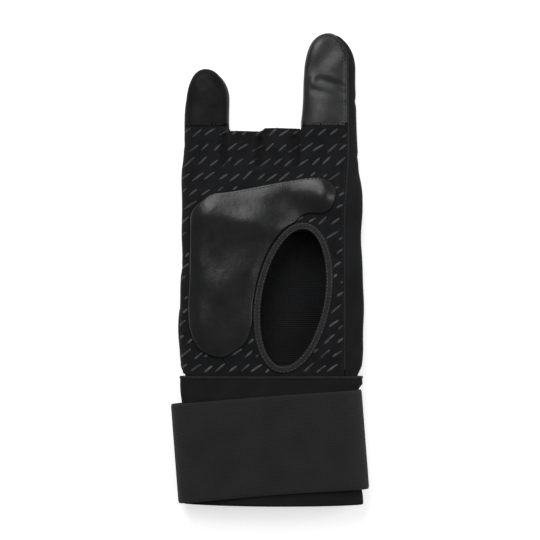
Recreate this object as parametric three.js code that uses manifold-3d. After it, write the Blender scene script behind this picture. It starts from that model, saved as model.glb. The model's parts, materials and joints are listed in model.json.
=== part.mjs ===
// A full-palm bowling glove for the right hand with a wide wrist wrap.
// It lies on its back on a table, palm up: +Y points to the fingertips, +X to the thumb side, +Z up.
// The index and little fingers are whole, the middle and ring fingers are short open stubs, and the
// thumb goes out through an oval hole in the palm. All sizes are in millimetres.
import * as THREE from "three";
import { mergeVertices } from "three/addons/utils/BufferGeometryUtils.js";
import Module from "manifold-3d";

const wasm = await Module();
wasm.setup();

// Driving dimensions of the hand.
const HAND_WIDTH = 116;
const HAND_DEPTH = 21.4;
const PALM_LENGTH = 132;
const INDEX_LENGTH = 86.5;
const MIDDLE_LENGTH = 26.5;
const RING_LENGTH = 24.5;
const LITTLE_LENGTH = 63.5;
const FINGER_DEPTH = 17.5;
const FINGERTIP_DEPTH = 12.5;
const FINGER_ROOT = 26;
const FINGER_LEAN = 3;
const FINGER_LAP = 1.1;
const ROOT_INSET = 2.5;

// Driving dimensions of the cuff, its flap and the elastic wrap.
const CUFF_WIDTH = 116;
const CUFF_LENGTH = 83;
const CUFF_DEPTH = 18;
const TUCK_LENGTH = 8;
const FLAP_REACH = 88;
const FLAP_SETBACK = 1.5;
const FLAP_CORNER = 8;
const TAB_WIDTH = 11;
const TAB_LENGTH = 14;
const HOOK_WIDTH = 18;
const HOOK_LENGTH = 52;
const STRAP_WIDTH = 63.5;
const STRAP_TILT = 4.4;
const STRAP_SETBACK = 13.25;
const STRAP_FOLD = 20;
const STRAP_OVERLAP = 38;
const STRAP_END_SETBACK = 12.5;
const STRAP_EASE = 0.6;

// Cloth thicknesses and the clearance between sewn pieces.
const WALL = 1.8;
const CUFF_WALL = 2.5;
const STRAP_WALL = 1.4;
const FLAP_WALL = 1.6;
const TAB_WALL = 1;
const HOOK_WALL = 1;
const PATCH_WALL = 0.8;
const PAD_WALL = 2.2;
const TAPE_WALL = 0.9;
const TAPE_RISE = 0.4;
const WING_WALL = 1.1;
const GAP = 0.3;

// Details of the palm and the back.
const THUMB_HOLE_LENGTH = 88.4;
const THUMB_HOLE_WIDTH = 39.6;
const THUMB_HOLE_TURN = 10;
const HOLE_TAPE_WIDTH = 4.4;
const EDGE_TAPE_WIDTH = 4.2;
const PATCH_LENGTH = 48;
const PATCH_CORNER = 2;
const PATCH_MARGIN = 1.4;
const WINDOW_CORNER = 13;
const KNIT_RECESS = 0.5;
const LEATHER_START = 29;
const UNDER_LEATHER_WIDTH = 10;
const UNDER_LEATHER_SETBACK = 5;
const GUSSET_WIDTH = 12.5;
const WING_HEIGHT = 44.5;
const WING_START = 1;
const WING_WIDTH = 14.5;
const VENT_RADIUS = 0.6;
const VENT_PITCH = 18.2;
const VENT_START = 6;
const VENT_MARGIN = 12;

// Places as shares: of the half hand across, and of the palm length up from the cuff.
const THUMB_HOLE_PLACE = { x: 0.253, y: 0.378 };
const PATCH_PLACE = { left: -0.465, right: 0.855, low: 0.14 };
const WINDOW_PLACE = { low: 0.06, high: 0.68 };
const THUMB_SIDE_SEAM = { x: 0.82, bend: 0.8, end: 1.06 };
const HAND_EDGE = 0.966;
const SEAM_SHARE = 0.46;

// Mesh fineness, the shape of a cross-section and the reach of the cutting shapes.
const HAND_POINTS = 26;
const FINGER_POINTS = 16;
const CUFF_POINTS = 28;
const STRAP_STEPS = 9;
const CURVE_STEPS = 36;
const CORNER_STEPS = 4;
const VENT_SIDES = 6;
const CROWN_POWER = 2.6;
const FLAT_POWER = 4;
const FAR = 400;

// Heights of the stack under the hand and under the cuff, from the table up.
const HAND_BASE = PATCH_WALL + GAP;
const LAP_HEIGHT = STRAP_WALL + GAP;
const CUFF_BASE = LAP_HEIGHT + STRAP_WALL + GAP + TAPE_RISE + FLAP_WALL + GAP;
const STRAP_TOP = CUFF_BASE + CUFF_DEPTH + GAP + STRAP_WALL;

const HALF_HAND = HAND_WIDTH / 2;
const HALF_CUFF = CUFF_WIDTH / 2;
const radians = THREE.MathUtils.degToRad;
const mix = THREE.MathUtils.lerp;

// The hand from the wrist to the finger roots. at: share of the palm length. little, thumb: reach
// to either side as shares of the half width. under, over: height as shares of the hand depth. The
// crease across the knuckles is the short rise of the underside at 0.77.
const HAND_ROWS = [
  { at: 0.055, little: 0.975, thumb: 1.0, under: 0.12, over: 0.93 },
  { at: 0.15, little: 0.984, thumb: 1.034, under: 0.02, over: 0.97 },
  { at: 0.28, little: 1.0, thumb: 1.04, under: 0.0, over: 1.0 },
  { at: 0.44, little: 0.981, thumb: 1.028, under: 0.0, over: 1.0 },
  { at: 0.66, little: 0.966, thumb: 1.012, under: 0.0, over: 0.99 },
  { at: 0.74, little: 0.966, thumb: 1.015, under: 0.0, over: 0.98 },
  { at: 0.77, little: 0.966, thumb: 1.016, under: 0.035, over: 0.975 },
  { at: 0.8, little: 0.966, thumb: 1.018, under: 0.0, over: 0.97 },
  { at: 0.87, little: 0.966, thumb: 1.018, under: 0.0, over: 0.95 },
  { at: 0.935, little: 0.966, thumb: 1.003, under: 0.0, over: 0.91 },
  { at: 0.985, little: 0.955, thumb: 0.972, under: 0.01, over: 0.84 },
  { at: 1.03, little: 0.92, thumb: 0.93, under: 0.09, over: 0.7 },
  { at: 1.07, little: 0.86, thumb: 0.86, under: 0.22, over: 0.56 },
];

// The cuff from its top edge down. at: share of the cuff length. little, thumb: shares of the half width.
const CUFF_ROWS = [
  { at: 0, little: 0.988, thumb: 1.015 },
  { at: 0.1, little: 0.985, thumb: 0.97 },
  { at: 0.25, little: 0.965, thumb: 0.945 },
  { at: 0.55, little: 0.94, thumb: 0.95 },
  { at: 0.8, little: 0.94, thumb: 0.99 },
  { at: 0.93, little: 0.945, thumb: 1.025 },
  { at: 1, little: 0.965, thumb: 1.03 },
];

// The fingers across the hand. width: share of the hand width at the root. tip: width before the
// end as a share of that. round: length of the rounded end. depth: share of the finger depth.
// leanLeft, leanRight: how much of the lean each side takes. vent: place of the vent holes across.
const FINGERS = {
  little: {
    length: LITTLE_LENGTH, width: 0.25, tip: 0.87, drift: 0.05, round: 20, depth: 0.94,
    leanLeft: 0, leanRight: 1, vent: 0.16,
  },
  ring: {
    length: RING_LENGTH, width: 0.21, tip: 0.96, drift: 0, round: 0, depth: 0.98,
    leanLeft: 1, leanRight: 1, vent: 0.26,
  },
  middle: {
    length: MIDDLE_LENGTH, width: 0.209, tip: 0.92, drift: 0, round: 0, depth: 1,
    leanLeft: 1, leanRight: 1, vent: 0.3,
  },
  index: {
    length: INDEX_LENGTH, width: 0.33, tip: 0.85, drift: 0.03, round: 26, depth: 1,
    leanLeft: 1, leanRight: 0, vent: 0.1,
  },
};

// The side seam at the tip of the index finger. back: distance from the tip as a share of the finger's
// length. in: shift towards the middle of the hand as a share of the finger's width.
const TIP_SEAM = [{ back: 0.16, in: 0 }, { back: 0.08, in: 0.085 }, { back: 0, in: 0.25 }];

// The outline of the leather palm pad. x: share of the half hand. y: share of the palm length.
const PAD_OUTLINE = [
  { x: -0.85, y: 0.83 }, { x: -0.76, y: 0.876 }, { x: -0.41, y: 0.892 }, { x: 0.19, y: 0.944 },
  { x: 0.54, y: 0.962 }, { x: 0.7, y: 0.915 }, { x: 0.71, y: 0.85 }, { x: 0.6, y: 0.79 }, { x: 0.336, y: 0.77 },
  { x: 0.05, y: 0.6 }, { x: -0.1, y: 0.48 }, { x: -0.18, y: 0.36 }, { x: -0.2, y: 0.25 }, { x: -0.26, y: 0.165 },
  { x: -0.414, y: 0.111 }, { x: -0.56, y: 0.089 }, { x: -0.76, y: 0.125 }, { x: -0.87, y: 0.21 },
  { x: -0.9, y: 0.314 }, { x: -0.888, y: 0.46 }, { x: -0.878, y: 0.69 },
];

// The middle of the tape along the side wing's free edge, from the cuff up to where it hooks over.
// in: share of the wing width in from the hand's edge. y: share of the wing height above the cuff.
const WING_EDGE = [
  { in: 0.52, y: 0.0 }, { in: 0.7, y: 0.17 }, { in: 0.83, y: 0.36 }, { in: 0.77, y: 0.58 }, { in: 0.64, y: 0.75 },
  { in: 0.56, y: 0.87 }, { in: 0.61, y: 0.965 }, { in: 0.79, y: 0.99 }, { in: 0.92, y: 0.93 },
];

// Shares of the wing's edge below its shoulder, of the half cuff where the flap starts, and of the
// cuff's depth that the flap wraps round.
const WING_SHOULDER = 0.75;
const FLAP_START = 0.9;
const FLAP_WRAP = 0.3;

// Solid from a closed three.js geometry, and back.
function solidOf(geometry) {
  const bare = geometry.clone();
  bare.deleteAttribute("normal");
  bare.deleteAttribute("uv");
  const merged = mergeVertices(bare);
  const vertProperties = new Float32Array(merged.attributes.position.array);
  const triVerts = new Uint32Array(merged.index.array);
  return new wasm.Manifold(new wasm.Mesh({ numProp: 3, vertProperties, triVerts }));
}

function geometryOf(solid) {
  const { vertProperties, triVerts, numProp } = solid.getMesh();
  const count = vertProperties.length / numProp;
  const points = new Float32Array(count * 3);
  for (let i = 0; i < count; i++) {
    points.set(vertProperties.subarray(i * numProp, i * numProp + 3), i * 3);
  }
  const geometry = new THREE.BufferGeometry();
  geometry.setAttribute("position", new THREE.BufferAttribute(points, 3));
  geometry.setIndex(new THREE.BufferAttribute(new Uint32Array(triVerts), 1));
  geometry.computeVertexNormals();
  return geometry;
}

// A closed skin through rings of equally many points, each ring further along +Y than the last.
function loft(rings) {
  const count = rings[0].length;
  const points = rings.flat();
  const faces = [];
  for (let i = 0; i + 1 < rings.length; i++) {
    for (let j = 0; j < count; j++) {
      const next = (j + 1) % count;
      const [a, b] = [i * count + j, i * count + next];
      faces.push(a, a + count, b, b, a + count, b + count);
    }
  }
  const last = (rings.length - 1) * count;
  for (let j = 1; j + 1 < count; j++) {
    faces.push(0, j, j + 1);
    faces.push(last, last + j + 1, last + j);
  }
  const geometry = new THREE.BufferGeometry().setFromPoints(points);
  geometry.setIndex(faces);
  return solidOf(geometry);
}

// One cross-section, flat below and crowned above, grown outwards by offset. leanLeft and leanRight
// tip the top of each side towards the little finger.
function ring({ y, left, right, bottom, top, leanLeft = 0, leanRight = 0 }, offset, count) {
  const centre = (left + right) / 2;
  const middle = (bottom + top) / 2;
  const across = (right - left) / 2 + offset;
  const up = (top - bottom) / 2 + offset;
  return Array.from({ length: count }, (_, i) => {
    const angle = (2 * Math.PI * (i + 0.5)) / count;
    const [c, s] = [Math.cos(angle), Math.sin(angle)];
    const power = 2 / (s < 0 ? FLAT_POWER : CROWN_POWER);
    const rise = Math.sign(s) * Math.abs(s) ** power;
    const side = Math.sign(c) * Math.abs(c) ** power;
    const lean = mix(leanLeft, leanRight, (side + 1) / 2);
    return new THREE.Vector3(centre + across * side - lean * rise, y, middle + up * rise);
  });
}

// A value of a table between its rows.
function tableValue(rows, column, at) {
  const after = rows.findIndex((row) => row.at >= at);
  if (after <= 0) return rows[after < 0 ? rows.length - 1 : 0][column];
  const [a, b] = [rows[after - 1], rows[after]];
  return mix(a[column], b[column], (at - a.at) / (b.at - a.at));
}

function cuffSection(y) {
  const at = THREE.MathUtils.clamp(-y / CUFF_LENGTH, 0, 1);
  return {
    y,
    left: -HALF_CUFF * tableValue(CUFF_ROWS, "little", at),
    right: HALF_CUFF * tableValue(CUFF_ROWS, "thumb", at),
    bottom: CUFF_BASE,
    top: CUFF_BASE + CUFF_DEPTH,
  };
}

// The part of the hand inside the cuff, a cloth's clearance smaller than the cuff's bore.
function tuckSection(y) {
  const section = cuffSection(y);
  const inset = CUFF_WALL + GAP;
  return {
    y,
    left: section.left + inset,
    right: section.right - inset,
    bottom: section.bottom + inset,
    top: section.top - inset,
  };
}

function handSection(row) {
  return {
    y: row.at * PALM_LENGTH,
    left: -HALF_HAND * row.little,
    right: HALF_HAND * row.thumb,
    bottom: HAND_BASE + row.under * HAND_DEPTH,
    top: HAND_BASE + row.over * HAND_DEPTH,
  };
}

const HAND_SECTIONS = [tuckSection(-TUCK_LENGTH), tuckSection(2 * GAP), ...HAND_ROWS.map(handSection)];

// Where each finger lies across the hand: they stand side by side from the little finger on.
const FINGER_PLACES = (() => {
  let edge = -HALF_HAND * HAND_EDGE;
  const places = {};
  for (const [name, finger] of Object.entries(FINGERS)) {
    const width = finger.width * HAND_WIDTH;
    places[name] = { ...finger, width, centre: edge + width / 2 };
    edge += width - FINGER_LAP;
  }
  return places;
})();

// A finger's cross-section at a distance past the finger roots, without its round end.
function fingerSection(finger, along) {
  const share = THREE.MathUtils.clamp(along / (finger.length - finger.round), 0, 1);
  const depthShare = THREE.MathUtils.clamp(along / INDEX_LENGTH, 0, 1);
  const half = (finger.width * mix(1, finger.tip, share)) / 2;
  const centre = finger.centre + finger.width * finger.drift * share;
  const bottom = HAND_BASE * (1 - depthShare);
  return {
    y: PALM_LENGTH + along,
    left: centre - half,
    right: centre + half,
    bottom,
    top: bottom + mix(FINGER_DEPTH, FINGERTIP_DEPTH, depthShare) * finger.depth,
    leanLeft: finger.leanLeft * FINGER_LEAN * (1 - depthShare),
    leanRight: finger.leanRight * FINGER_LEAN * (1 - depthShare),
  };
}

// Stations along a finger as shares of its straight length, and round the end as angles in degrees.
const STRAIGHT_STATIONS = [0, 0.5, 1];
const TIP_ANGLES = [22, 42, 60, 74, 85];

function fingerLoft(finger, offset, openEnd) {
  const straight = finger.length - finger.round;
  const rings = [ring(fingerSection(finger, -FINGER_ROOT), offset - ROOT_INSET, FINGER_POINTS)];
  for (const station of STRAIGHT_STATIONS) {
    rings.push(ring(fingerSection(finger, straight * station), offset, FINGER_POINTS));
  }
  if (!finger.round) {
    const end = { ...fingerSection(finger, straight), y: PALM_LENGTH + straight + openEnd };
    if (openEnd > 0) rings.push(ring(end, offset, FINGER_POINTS));
    return loft(rings);
  }
  for (const angle of TIP_ANGLES.map(radians)) {
    const section = fingerSection(finger, finger.length);
    const middle = (section.bottom + section.top) / 2;
    const centre = (section.left + section.right) / 2;
    const across = ((section.right - section.left) / 2 + offset) * Math.cos(angle);
    const up = ((section.top - section.bottom) / 2 + offset) * Math.cos(angle) ** 0.8;
    const y = PALM_LENGTH + straight + (finger.round + offset) * Math.sin(angle);
    const tip = { y, left: centre - across, right: centre + across, bottom: middle - up, top: middle + up };
    rings.push(ring(tip, 0, FINGER_POINTS));
  }
  return loft(rings);
}

// The whole hand grown outwards by offset, without its wall. A negative offset gives the hollow,
// which runs on past the open ends.
const skins = new Map();
function skin(offset) {
  if (!skins.has(offset)) {
    const past = offset < 0 ? FINGER_ROOT : 0;
    const sections = HAND_SECTIONS.map((section) => ({ ...section }));
    sections[0].y -= past;
    sections[sections.length - 1].y += offset;
    let solid = loft(sections.map((section) => ring(section, offset, HAND_POINTS)));
    for (const finger of Object.values(FINGER_PLACES)) {
      solid = solid.add(fingerLoft(finger, offset, past));
    }
    skins.set(offset, solid);
  }
  return skins.get(offset);
}

// A layer of cloth on the hand, from one height above its skin to another.
const layer = (low, high) => skin(high).subtract(skin(low));

function cuffSkin(offset, past = 0) {
  const stations = CUFF_ROWS.map((row) => -row.at * CUFF_LENGTH).reverse();
  const sections = stations.map(cuffSection);
  sections[0].y -= past;
  sections[sections.length - 1].y += past;
  return loft(sections.map((section) => ring(section, offset, CUFF_POINTS)));
}

// Cutting shapes: a plan outline raised through all heights, and the space over the side seam.
function prism(shape, low = -FAR, high = FAR) {
  const options = { depth: high - low, bevelEnabled: false, curveSegments: CURVE_STEPS };
  return solidOf(new THREE.ExtrudeGeometry(shape, options).translate(0, 0, low));
}

function polygon(points) {
  return new THREE.Shape(points.map(([x, y]) => new THREE.Vector2(x, y)));
}

function box(left, right, low, high) {
  return polygon([[left, low], [right, low], [right, high], [left, high]]);
}

function smoothOutline(points) {
  const curve = new THREE.CatmullRomCurve3(points.map(([x, y]) => new THREE.Vector3(x, y, 0)), true);
  return polygon(curve.getPoints(CURVE_STEPS * 2).slice(0, -1).map((p) => [p.x, p.y]));
}

// The side seam runs a little under half of the height all the way from the cuff to the fingertip.
const SEAM_LINE = (() => {
  const height = ({ y, bottom, top }) => [y, mix(bottom, top, SEAM_SHARE)];
  const roots = HAND_SECTIONS.slice(0, -2).map(height);
  const stations = STRAIGHT_STATIONS.slice(1).map((share) => share * INDEX_LENGTH);
  return [...roots, ...stations.map((along) => height(fingerSection(FINGER_PLACES.index, along)))];
})();

function overSeam(grow) {
  const line = SEAM_LINE.map(([y, z]) => [y, z - grow]);
  line[0][0] -= FAR;
  line.push([FAR, line[line.length - 1][1]], [FAR, FAR], [line[0][0], FAR]);
  return sideways(polygon(line));
}

// Extrudes an outline drawn in the Y-Z plane across the whole glove.
function sideways(shape) {
  const geometry = new THREE.ExtrudeGeometry(shape, { depth: 2 * FAR, bevelEnabled: false });
  const toSide = new THREE.Matrix4().makeBasis(
    new THREE.Vector3(0, 1, 0),
    new THREE.Vector3(0, 0, 1),
    new THREE.Vector3(1, 0, 0),
  );
  return solidOf(geometry.applyMatrix4(toSide).translate(-FAR, 0, 0));
}

const underSeam = (grow) => prism(box(-FAR, FAR, -FAR, FAR)).subtract(overSeam(GAP - grow));

// Named lines of the cut pieces.
const leatherLine = PALM_LENGTH + LEATHER_START;
const indexPlace = FINGER_PLACES.index;
const indexStart = indexPlace.centre - indexPlace.width / 2;
const indexEnd = PALM_LENGTH + INDEX_LENGTH;
const indexSeam = indexPlace.centre + indexPlace.width * 0.33;
const thumbSeam = HALF_HAND * THUMB_SIDE_SEAM.x;
const handEdge = -HALF_HAND * HAND_EDGE;
const gussetSeam = handEdge + GUSSET_WIDTH;
const patchLeft = HALF_HAND * PATCH_PLACE.left;
const patchRight = HALF_HAND * PATCH_PLACE.right;
const halfway = HAND_BASE + HAND_DEPTH / 2;

// The palm cloth in plan: everything but the strip of back cloth that wraps up on the thumb side.
function palmPlan(grow) {
  return polygon([
    [-FAR, -FAR],
    [thumbSeam + grow, -FAR],
    [thumbSeam + grow, PALM_LENGTH * THUMB_SIDE_SEAM.bend],
    [indexSeam + grow, PALM_LENGTH * THUMB_SIDE_SEAM.end],
    [indexSeam + grow, leatherLine + grow],
    [-FAR, leatherLine + grow],
  ]);
}

// The leather on the index finger, over the seam and where it wraps round to the back.
function indexTopPlan(grow) {
  const start = leatherLine + GAP - grow;
  const seam = indexSeam + grow;
  const tip = TIP_SEAM.map((row) => [seam - row.in * indexPlace.width, indexEnd - row.back * INDEX_LENGTH]);
  return polygon([[0, start], [seam, start], ...tip, [tip[tip.length - 1][0], FAR], [0, FAR]]);
}

function indexUnderPlan(grow) {
  const seam = indexStart + UNDER_LEATHER_WIDTH + grow;
  return box(0, seam, leatherLine + GAP - grow, indexEnd - UNDER_LEATHER_SETBACK + grow);
}

const littleTopPlan = (grow) => box(-FAR, 0, leatherLine + GAP - grow, FAR);

// A box outline whose upper corners may be rounder than its lower ones.
function roundedBox(left, right, low, high, topRadius, lowRadius) {
  const shape = new THREE.Shape();
  shape.moveTo(left + lowRadius, low);
  shape.lineTo(right - lowRadius, low);
  shape.absarc(right - lowRadius, low + lowRadius, lowRadius, -Math.PI / 2, 0);
  shape.absarc(right - topRadius, high - topRadius, topRadius, 0, Math.PI / 2);
  shape.absarc(left + topRadius, high - topRadius, topRadius, Math.PI / 2, Math.PI);
  shape.absarc(left + lowRadius, low + lowRadius, lowRadius, Math.PI, Math.PI * 1.5);
  return new THREE.Shape(shape.getPoints(CORNER_STEPS));
}

function windowPlan(grow) {
  const [left, right] = [patchLeft + PATCH_MARGIN - grow, patchRight - PATCH_MARGIN + grow];
  const [low, high] = [PALM_LENGTH * WINDOW_PLACE.low - grow, PALM_LENGTH * WINDOW_PLACE.high + grow];
  return roundedBox(left, right, low, high, WINDOW_CORNER, PATCH_CORNER);
}

function thumbHolePlan(grow) {
  const turn = radians(90 - THUMB_HOLE_TURN);
  const centre = { x: HALF_HAND * THUMB_HOLE_PLACE.x, y: PALM_LENGTH * THUMB_HOLE_PLACE.y };
  const [long, short] = [THUMB_HOLE_LENGTH / 2 + grow, THUMB_HOLE_WIDTH / 2 + grow];
  const shape = new THREE.Shape();
  shape.absellipse(centre.x, centre.y, long, short, 0, 2 * Math.PI, false, turn);
  return shape;
}

// The pieces sewn from the hand's shell.
function handPieces() {
  const shell = layer(-WALL, 0);
  const holeEdge = prism(thumbHolePlan(TAPE_WALL + GAP), halfway);
  const over = (plan) => (grow) => prism(plan(grow)).intersect(overSeam(grow));
  const palmCut = over(palmPlan);
  const indexTop = over(indexTopPlan);
  const littleTop = over(littleTopPlan);
  const indexUnder = (grow) => prism(indexUnderPlan(grow)).intersect(underSeam(GAP));
  const gusset = (grow) => prism(box(-FAR, gussetSeam + grow, -FAR, FAR)).intersect(underSeam(grow));
  const knitWindow = (grow) => prism(windowPlan(grow), -FAR, halfway);
  let back = shell;
  for (const cut of [palmCut, indexTop, littleTop, indexUnder, gusset, knitWindow]) {
    back = back.subtract(cut(GAP));
  }
  back = back.subtract(ventHoles());
  const knit = layer(-WALL, -KNIT_RECESS);
  return {
    palm_panel: shell.intersect(palmCut(0)).subtract(holeEdge),
    index_leather: shell.intersect(indexTop(0).add(indexUnder(0))),
    little_leather: shell.intersect(littleTop(0)),
    little_gusset: shell.intersect(gusset(0)),
    knit_window: knit.intersect(knitWindow(0)),
    back_panel: back,
  };
}

// Small vent holes in a row down the back of each finger.
function ventHoles() {
  const holes = Object.values(FINGER_PLACES).flatMap((place) => {
    const count = 1 + Math.floor((place.length + VENT_START - VENT_MARGIN) / VENT_PITCH);
    return Array.from({ length: count }, (_, i) => {
      const drill = new THREE.CylinderGeometry(VENT_RADIUS, VENT_RADIUS, FINGER_DEPTH / 2, VENT_SIDES);
      drill.rotateX(Math.PI / 2);
      drill.translate(place.centre + place.vent * place.width, PALM_LENGTH - VENT_START + i * VENT_PITCH, 0);
      return solidOf(drill);
    });
  });
  return holes.reduce((all, hole) => all.add(hole));
}

// The tape that binds the thumb hole lies over, round and under the cut edge of the palm.
function holeBinding() {
  const outside = prism(thumbHolePlan(HOLE_TAPE_WIDTH), halfway);
  const slot = prism(thumbHolePlan(HOLE_TAPE_WIDTH + 1)).subtract(prism(thumbHolePlan(TAPE_WALL)));
  const thick = layer(-WALL - GAP - TAPE_WALL, GAP + TAPE_WALL).intersect(outside.subtract(prism(thumbHolePlan(0))));
  return thick.subtract(layer(-WALL - GAP, GAP).intersect(slot));
}

function palmPad() {
  const outline = PAD_OUTLINE.map(({ x, y }) => [x * HALF_HAND, y * PALM_LENGTH]);
  const pad = layer(GAP, GAP + PAD_WALL).intersect(prism(smoothOutline(outline), halfway));
  return pad.subtract(prism(thumbHolePlan(HOLE_TAPE_WIDTH + GAP)));
}

function backPatch() {
  const low = PALM_LENGTH * PATCH_PLACE.low;
  return prism(roundedBox(patchLeft, patchRight, low, low + PATCH_LENGTH, PATCH_CORNER, PATCH_CORNER), 0, PATCH_WALL);
}

// A band of even width along an open line.
function band(line, width) {
  const sides = line.map(([x, y], i) => {
    const [a, b] = [line[Math.max(i - 1, 0)], line[Math.min(i + 1, line.length - 1)]];
    const length = Math.hypot(b[0] - a[0], b[1] - a[1]);
    const [across, up] = [(-(b[1] - a[1]) / length) * (width / 2), ((b[0] - a[0]) / length) * (width / 2)];
    return { left: [x + across, y + up], right: [x - across, y - up] };
  });
  return polygon([...sides.map((side) => side.right), ...sides.map((side) => side.left).reverse()]);
}

// The side wing and the tape along its free edge, on the little finger's side of the back.
function wingPieces() {
  const place = (row) => new THREE.Vector3(handEdge + row.in * WING_WIDTH, WING_START + row.y * WING_HEIGHT, 0);
  const curve = new THREE.CatmullRomCurve3(WING_EDGE.map(place));
  const line = curve.getPoints(CURVE_STEPS / 2).map((p) => [p.x, p.y]);
  const shoulder = Math.round((line.length - 1) * WING_SHOULDER);
  const inner = line.slice(0, shoulder + 1);
  const under = underSeam(-GAP);
  const wing = prism(polygon([[-FAR, WING_START], ...inner, [-FAR, inner[shoulder][1]]]));
  const tape = prism(band(line, EDGE_TAPE_WIDTH)).intersect(prism(box(-FAR, 0, WING_START, FAR)));
  const clearance = prism(band(line, EDGE_TAPE_WIDTH + 2 * GAP));
  return {
    side_wing: layer(GAP, GAP + WING_WALL).intersect(under).intersect(wing).subtract(clearance),
    wing_binding: layer(GAP, GAP + WING_WALL + TAPE_RISE / 2).intersect(under).intersect(tape),
  };
}

// The cuff, the flap that closes over its back, and what is sewn on the flap.
function cuffPieces() {
  const flapLeft = -HALF_CUFF * FLAP_START;
  const flapPlan = (inset) => {
    const [low, high] = [FLAP_SETBACK - CUFF_LENGTH + inset, -FLAP_SETBACK - inset];
    const corner = FLAP_CORNER - inset;
    return prism(roundedBox(-FAR, flapLeft + FLAP_REACH - inset, low, high, corner, corner));
  };
  const under = prism(box(flapLeft, FAR, -FAR, FAR), -FAR, CUFF_BASE + CUFF_DEPTH * FLAP_WRAP);
  const over = (low, high) => cuffSkin(high).subtract(cuffSkin(low, 1)).intersect(under);
  const border = flapPlan(0).subtract(flapPlan(EDGE_TAPE_WIDTH));
  const onFlap = GAP + FLAP_WALL + GAP;
  const onTape = onFlap + TAPE_RISE;
  const tabPlan = prism(box(flapLeft, flapLeft + TAB_WIDTH, -FLAP_SETBACK - TAB_LENGTH, -FLAP_SETBACK));
  const hookLeft = flapLeft + TAB_WIDTH + GAP;
  const hookHigh = -FLAP_SETBACK - EDGE_TAPE_WIDTH - GAP;
  const hookPlan = prism(box(hookLeft, hookLeft + HOOK_WIDTH, hookHigh - HOOK_LENGTH, hookHigh));
  return {
    cuff: cuffSkin(0).subtract(cuffSkin(-CUFF_WALL, 1)),
    cuff_flap: over(GAP, GAP + FLAP_WALL).intersect(flapPlan(EDGE_TAPE_WIDTH + GAP)),
    flap_binding: over(GAP, GAP + FLAP_WALL + TAPE_RISE).intersect(border),
    flap_tab: over(onTape, onTape + TAB_WALL).intersect(tabPlan),
    hook_patch: over(onFlap, onFlap + HOOK_WALL).intersect(hookPlan),
  };
}

// The elastic wrap: a flat band that starts on the back under its own free end, goes round the
// thumb side, the palm and the little finger's side, and laps over its start.
function strapGeometry() {
  const turn = Math.tan(radians(STRAP_TILT)) * (STRAP_WIDTH / 2);
  const inner = HALF_CUFF * CUFF_ROWS[2].thumb + turn + FLAP_WALL + TAPE_RISE + STRAP_EASE;
  const flat = inner - STRAP_FOLD;
  const end = inner - STRAP_END_SETBACK;
  const start = end - STRAP_OVERLAP;
  const underside = STRAP_TOP - STRAP_WALL;
  const thumbMiddle = (LAP_HEIGHT + STRAP_TOP) / 2;
  const littleMiddle = STRAP_TOP / 2;
  const outer = STRAP_FOLD + STRAP_WALL;
  const [quarter, threeQuarters] = [Math.PI / 2, Math.PI * 1.5];
  const shape = new THREE.Shape();
  shape.moveTo(start, LAP_HEIGHT);
  shape.lineTo(flat, LAP_HEIGHT);
  shape.absellipse(flat, thumbMiddle, outer, STRAP_TOP - thumbMiddle, -quarter, quarter);
  shape.absellipse(-flat, littleMiddle, outer, STRAP_TOP - littleMiddle, quarter, threeQuarters);
  shape.lineTo(end, 0);
  shape.lineTo(end, STRAP_WALL);
  shape.lineTo(-flat, STRAP_WALL);
  shape.absellipse(-flat, littleMiddle, STRAP_FOLD, underside - littleMiddle, threeQuarters, quarter, true);
  shape.lineTo(flat, underside);
  shape.absellipse(flat, thumbMiddle, STRAP_FOLD, underside - thumbMiddle, quarter, -quarter, true);
  shape.lineTo(start, LAP_HEIGHT + STRAP_WALL);
  const options = { depth: STRAP_WIDTH, bevelEnabled: false, curveSegments: STRAP_STEPS };
  return new THREE.ExtrudeGeometry(shape, options).rotateX(Math.PI / 2).translate(0, STRAP_WIDTH / 2, 0);
}

// Colours and finishes.
const finish = (color, roughness, metalness = 0) => new THREE.MeshStandardMaterial({ color, roughness, metalness });
const suede = finish(0x353736, 0.9);
const grip = finish(0x161617, 0.75);
const leather = finish(0x222224, 0.35);
const knitCloth = finish(0x1d1e1f, 0.85);
const neoprene = finish(0x262726, 0.85);
const tapeCloth = finish(0x4b4d4c, 0.8);
const darkTape = finish(0x2d2e30, 0.75);
const elastic = finish(0x2b2c2b, 0.85);
const patchCloth = finish(0x1f2322, 0.8);
const FINISHES = {
  palm_panel: grip,
  index_leather: leather,
  little_leather: leather,
  little_gusset: knitCloth,
  knit_window: knitCloth,
  back_panel: suede,
  thumb_hole_binding: darkTape,
  palm_pad: leather,
  back_patch: patchCloth,
  side_wing: neoprene,
  wing_binding: tapeCloth,
  cuff: neoprene,
  cuff_flap: neoprene,
  flap_binding: tapeCloth,
  flap_tab: tapeCloth,
  hook_patch: darkTape,
};

function buildGlove() {
  const glove = new THREE.Group();
  const solids = {
    ...handPieces(),
    thumb_hole_binding: holeBinding(),
    palm_pad: palmPad(),
    back_patch: backPatch(),
    ...wingPieces(),
    ...cuffPieces(),
  };
  for (const [name, solid] of Object.entries(solids)) {
    const mesh = new THREE.Mesh(geometryOf(solid), FINISHES[name]);
    mesh.name = name;
    glove.add(mesh);
  }
  const strap = new THREE.Mesh(strapGeometry(), elastic);
  strap.name = "wrist_strap";
  strap.rotation.z = radians(STRAP_TILT);
  strap.position.y = -STRAP_SETBACK - STRAP_WIDTH / 2;
  glove.add(strap);
  return glove;
}

// The origin is on the table under the middle of the glove's box.
function onOrigin(glove) {
  glove.updateMatrixWorld(true);
  const bounds = new THREE.Box3().setFromObject(glove, true);
  const centre = bounds.getCenter(new THREE.Vector3());
  glove.position.set(-centre.x, -centre.y, -bounds.min.z);
  return new THREE.Group().add(glove);
}

export default onOrigin(buildGlove());
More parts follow.
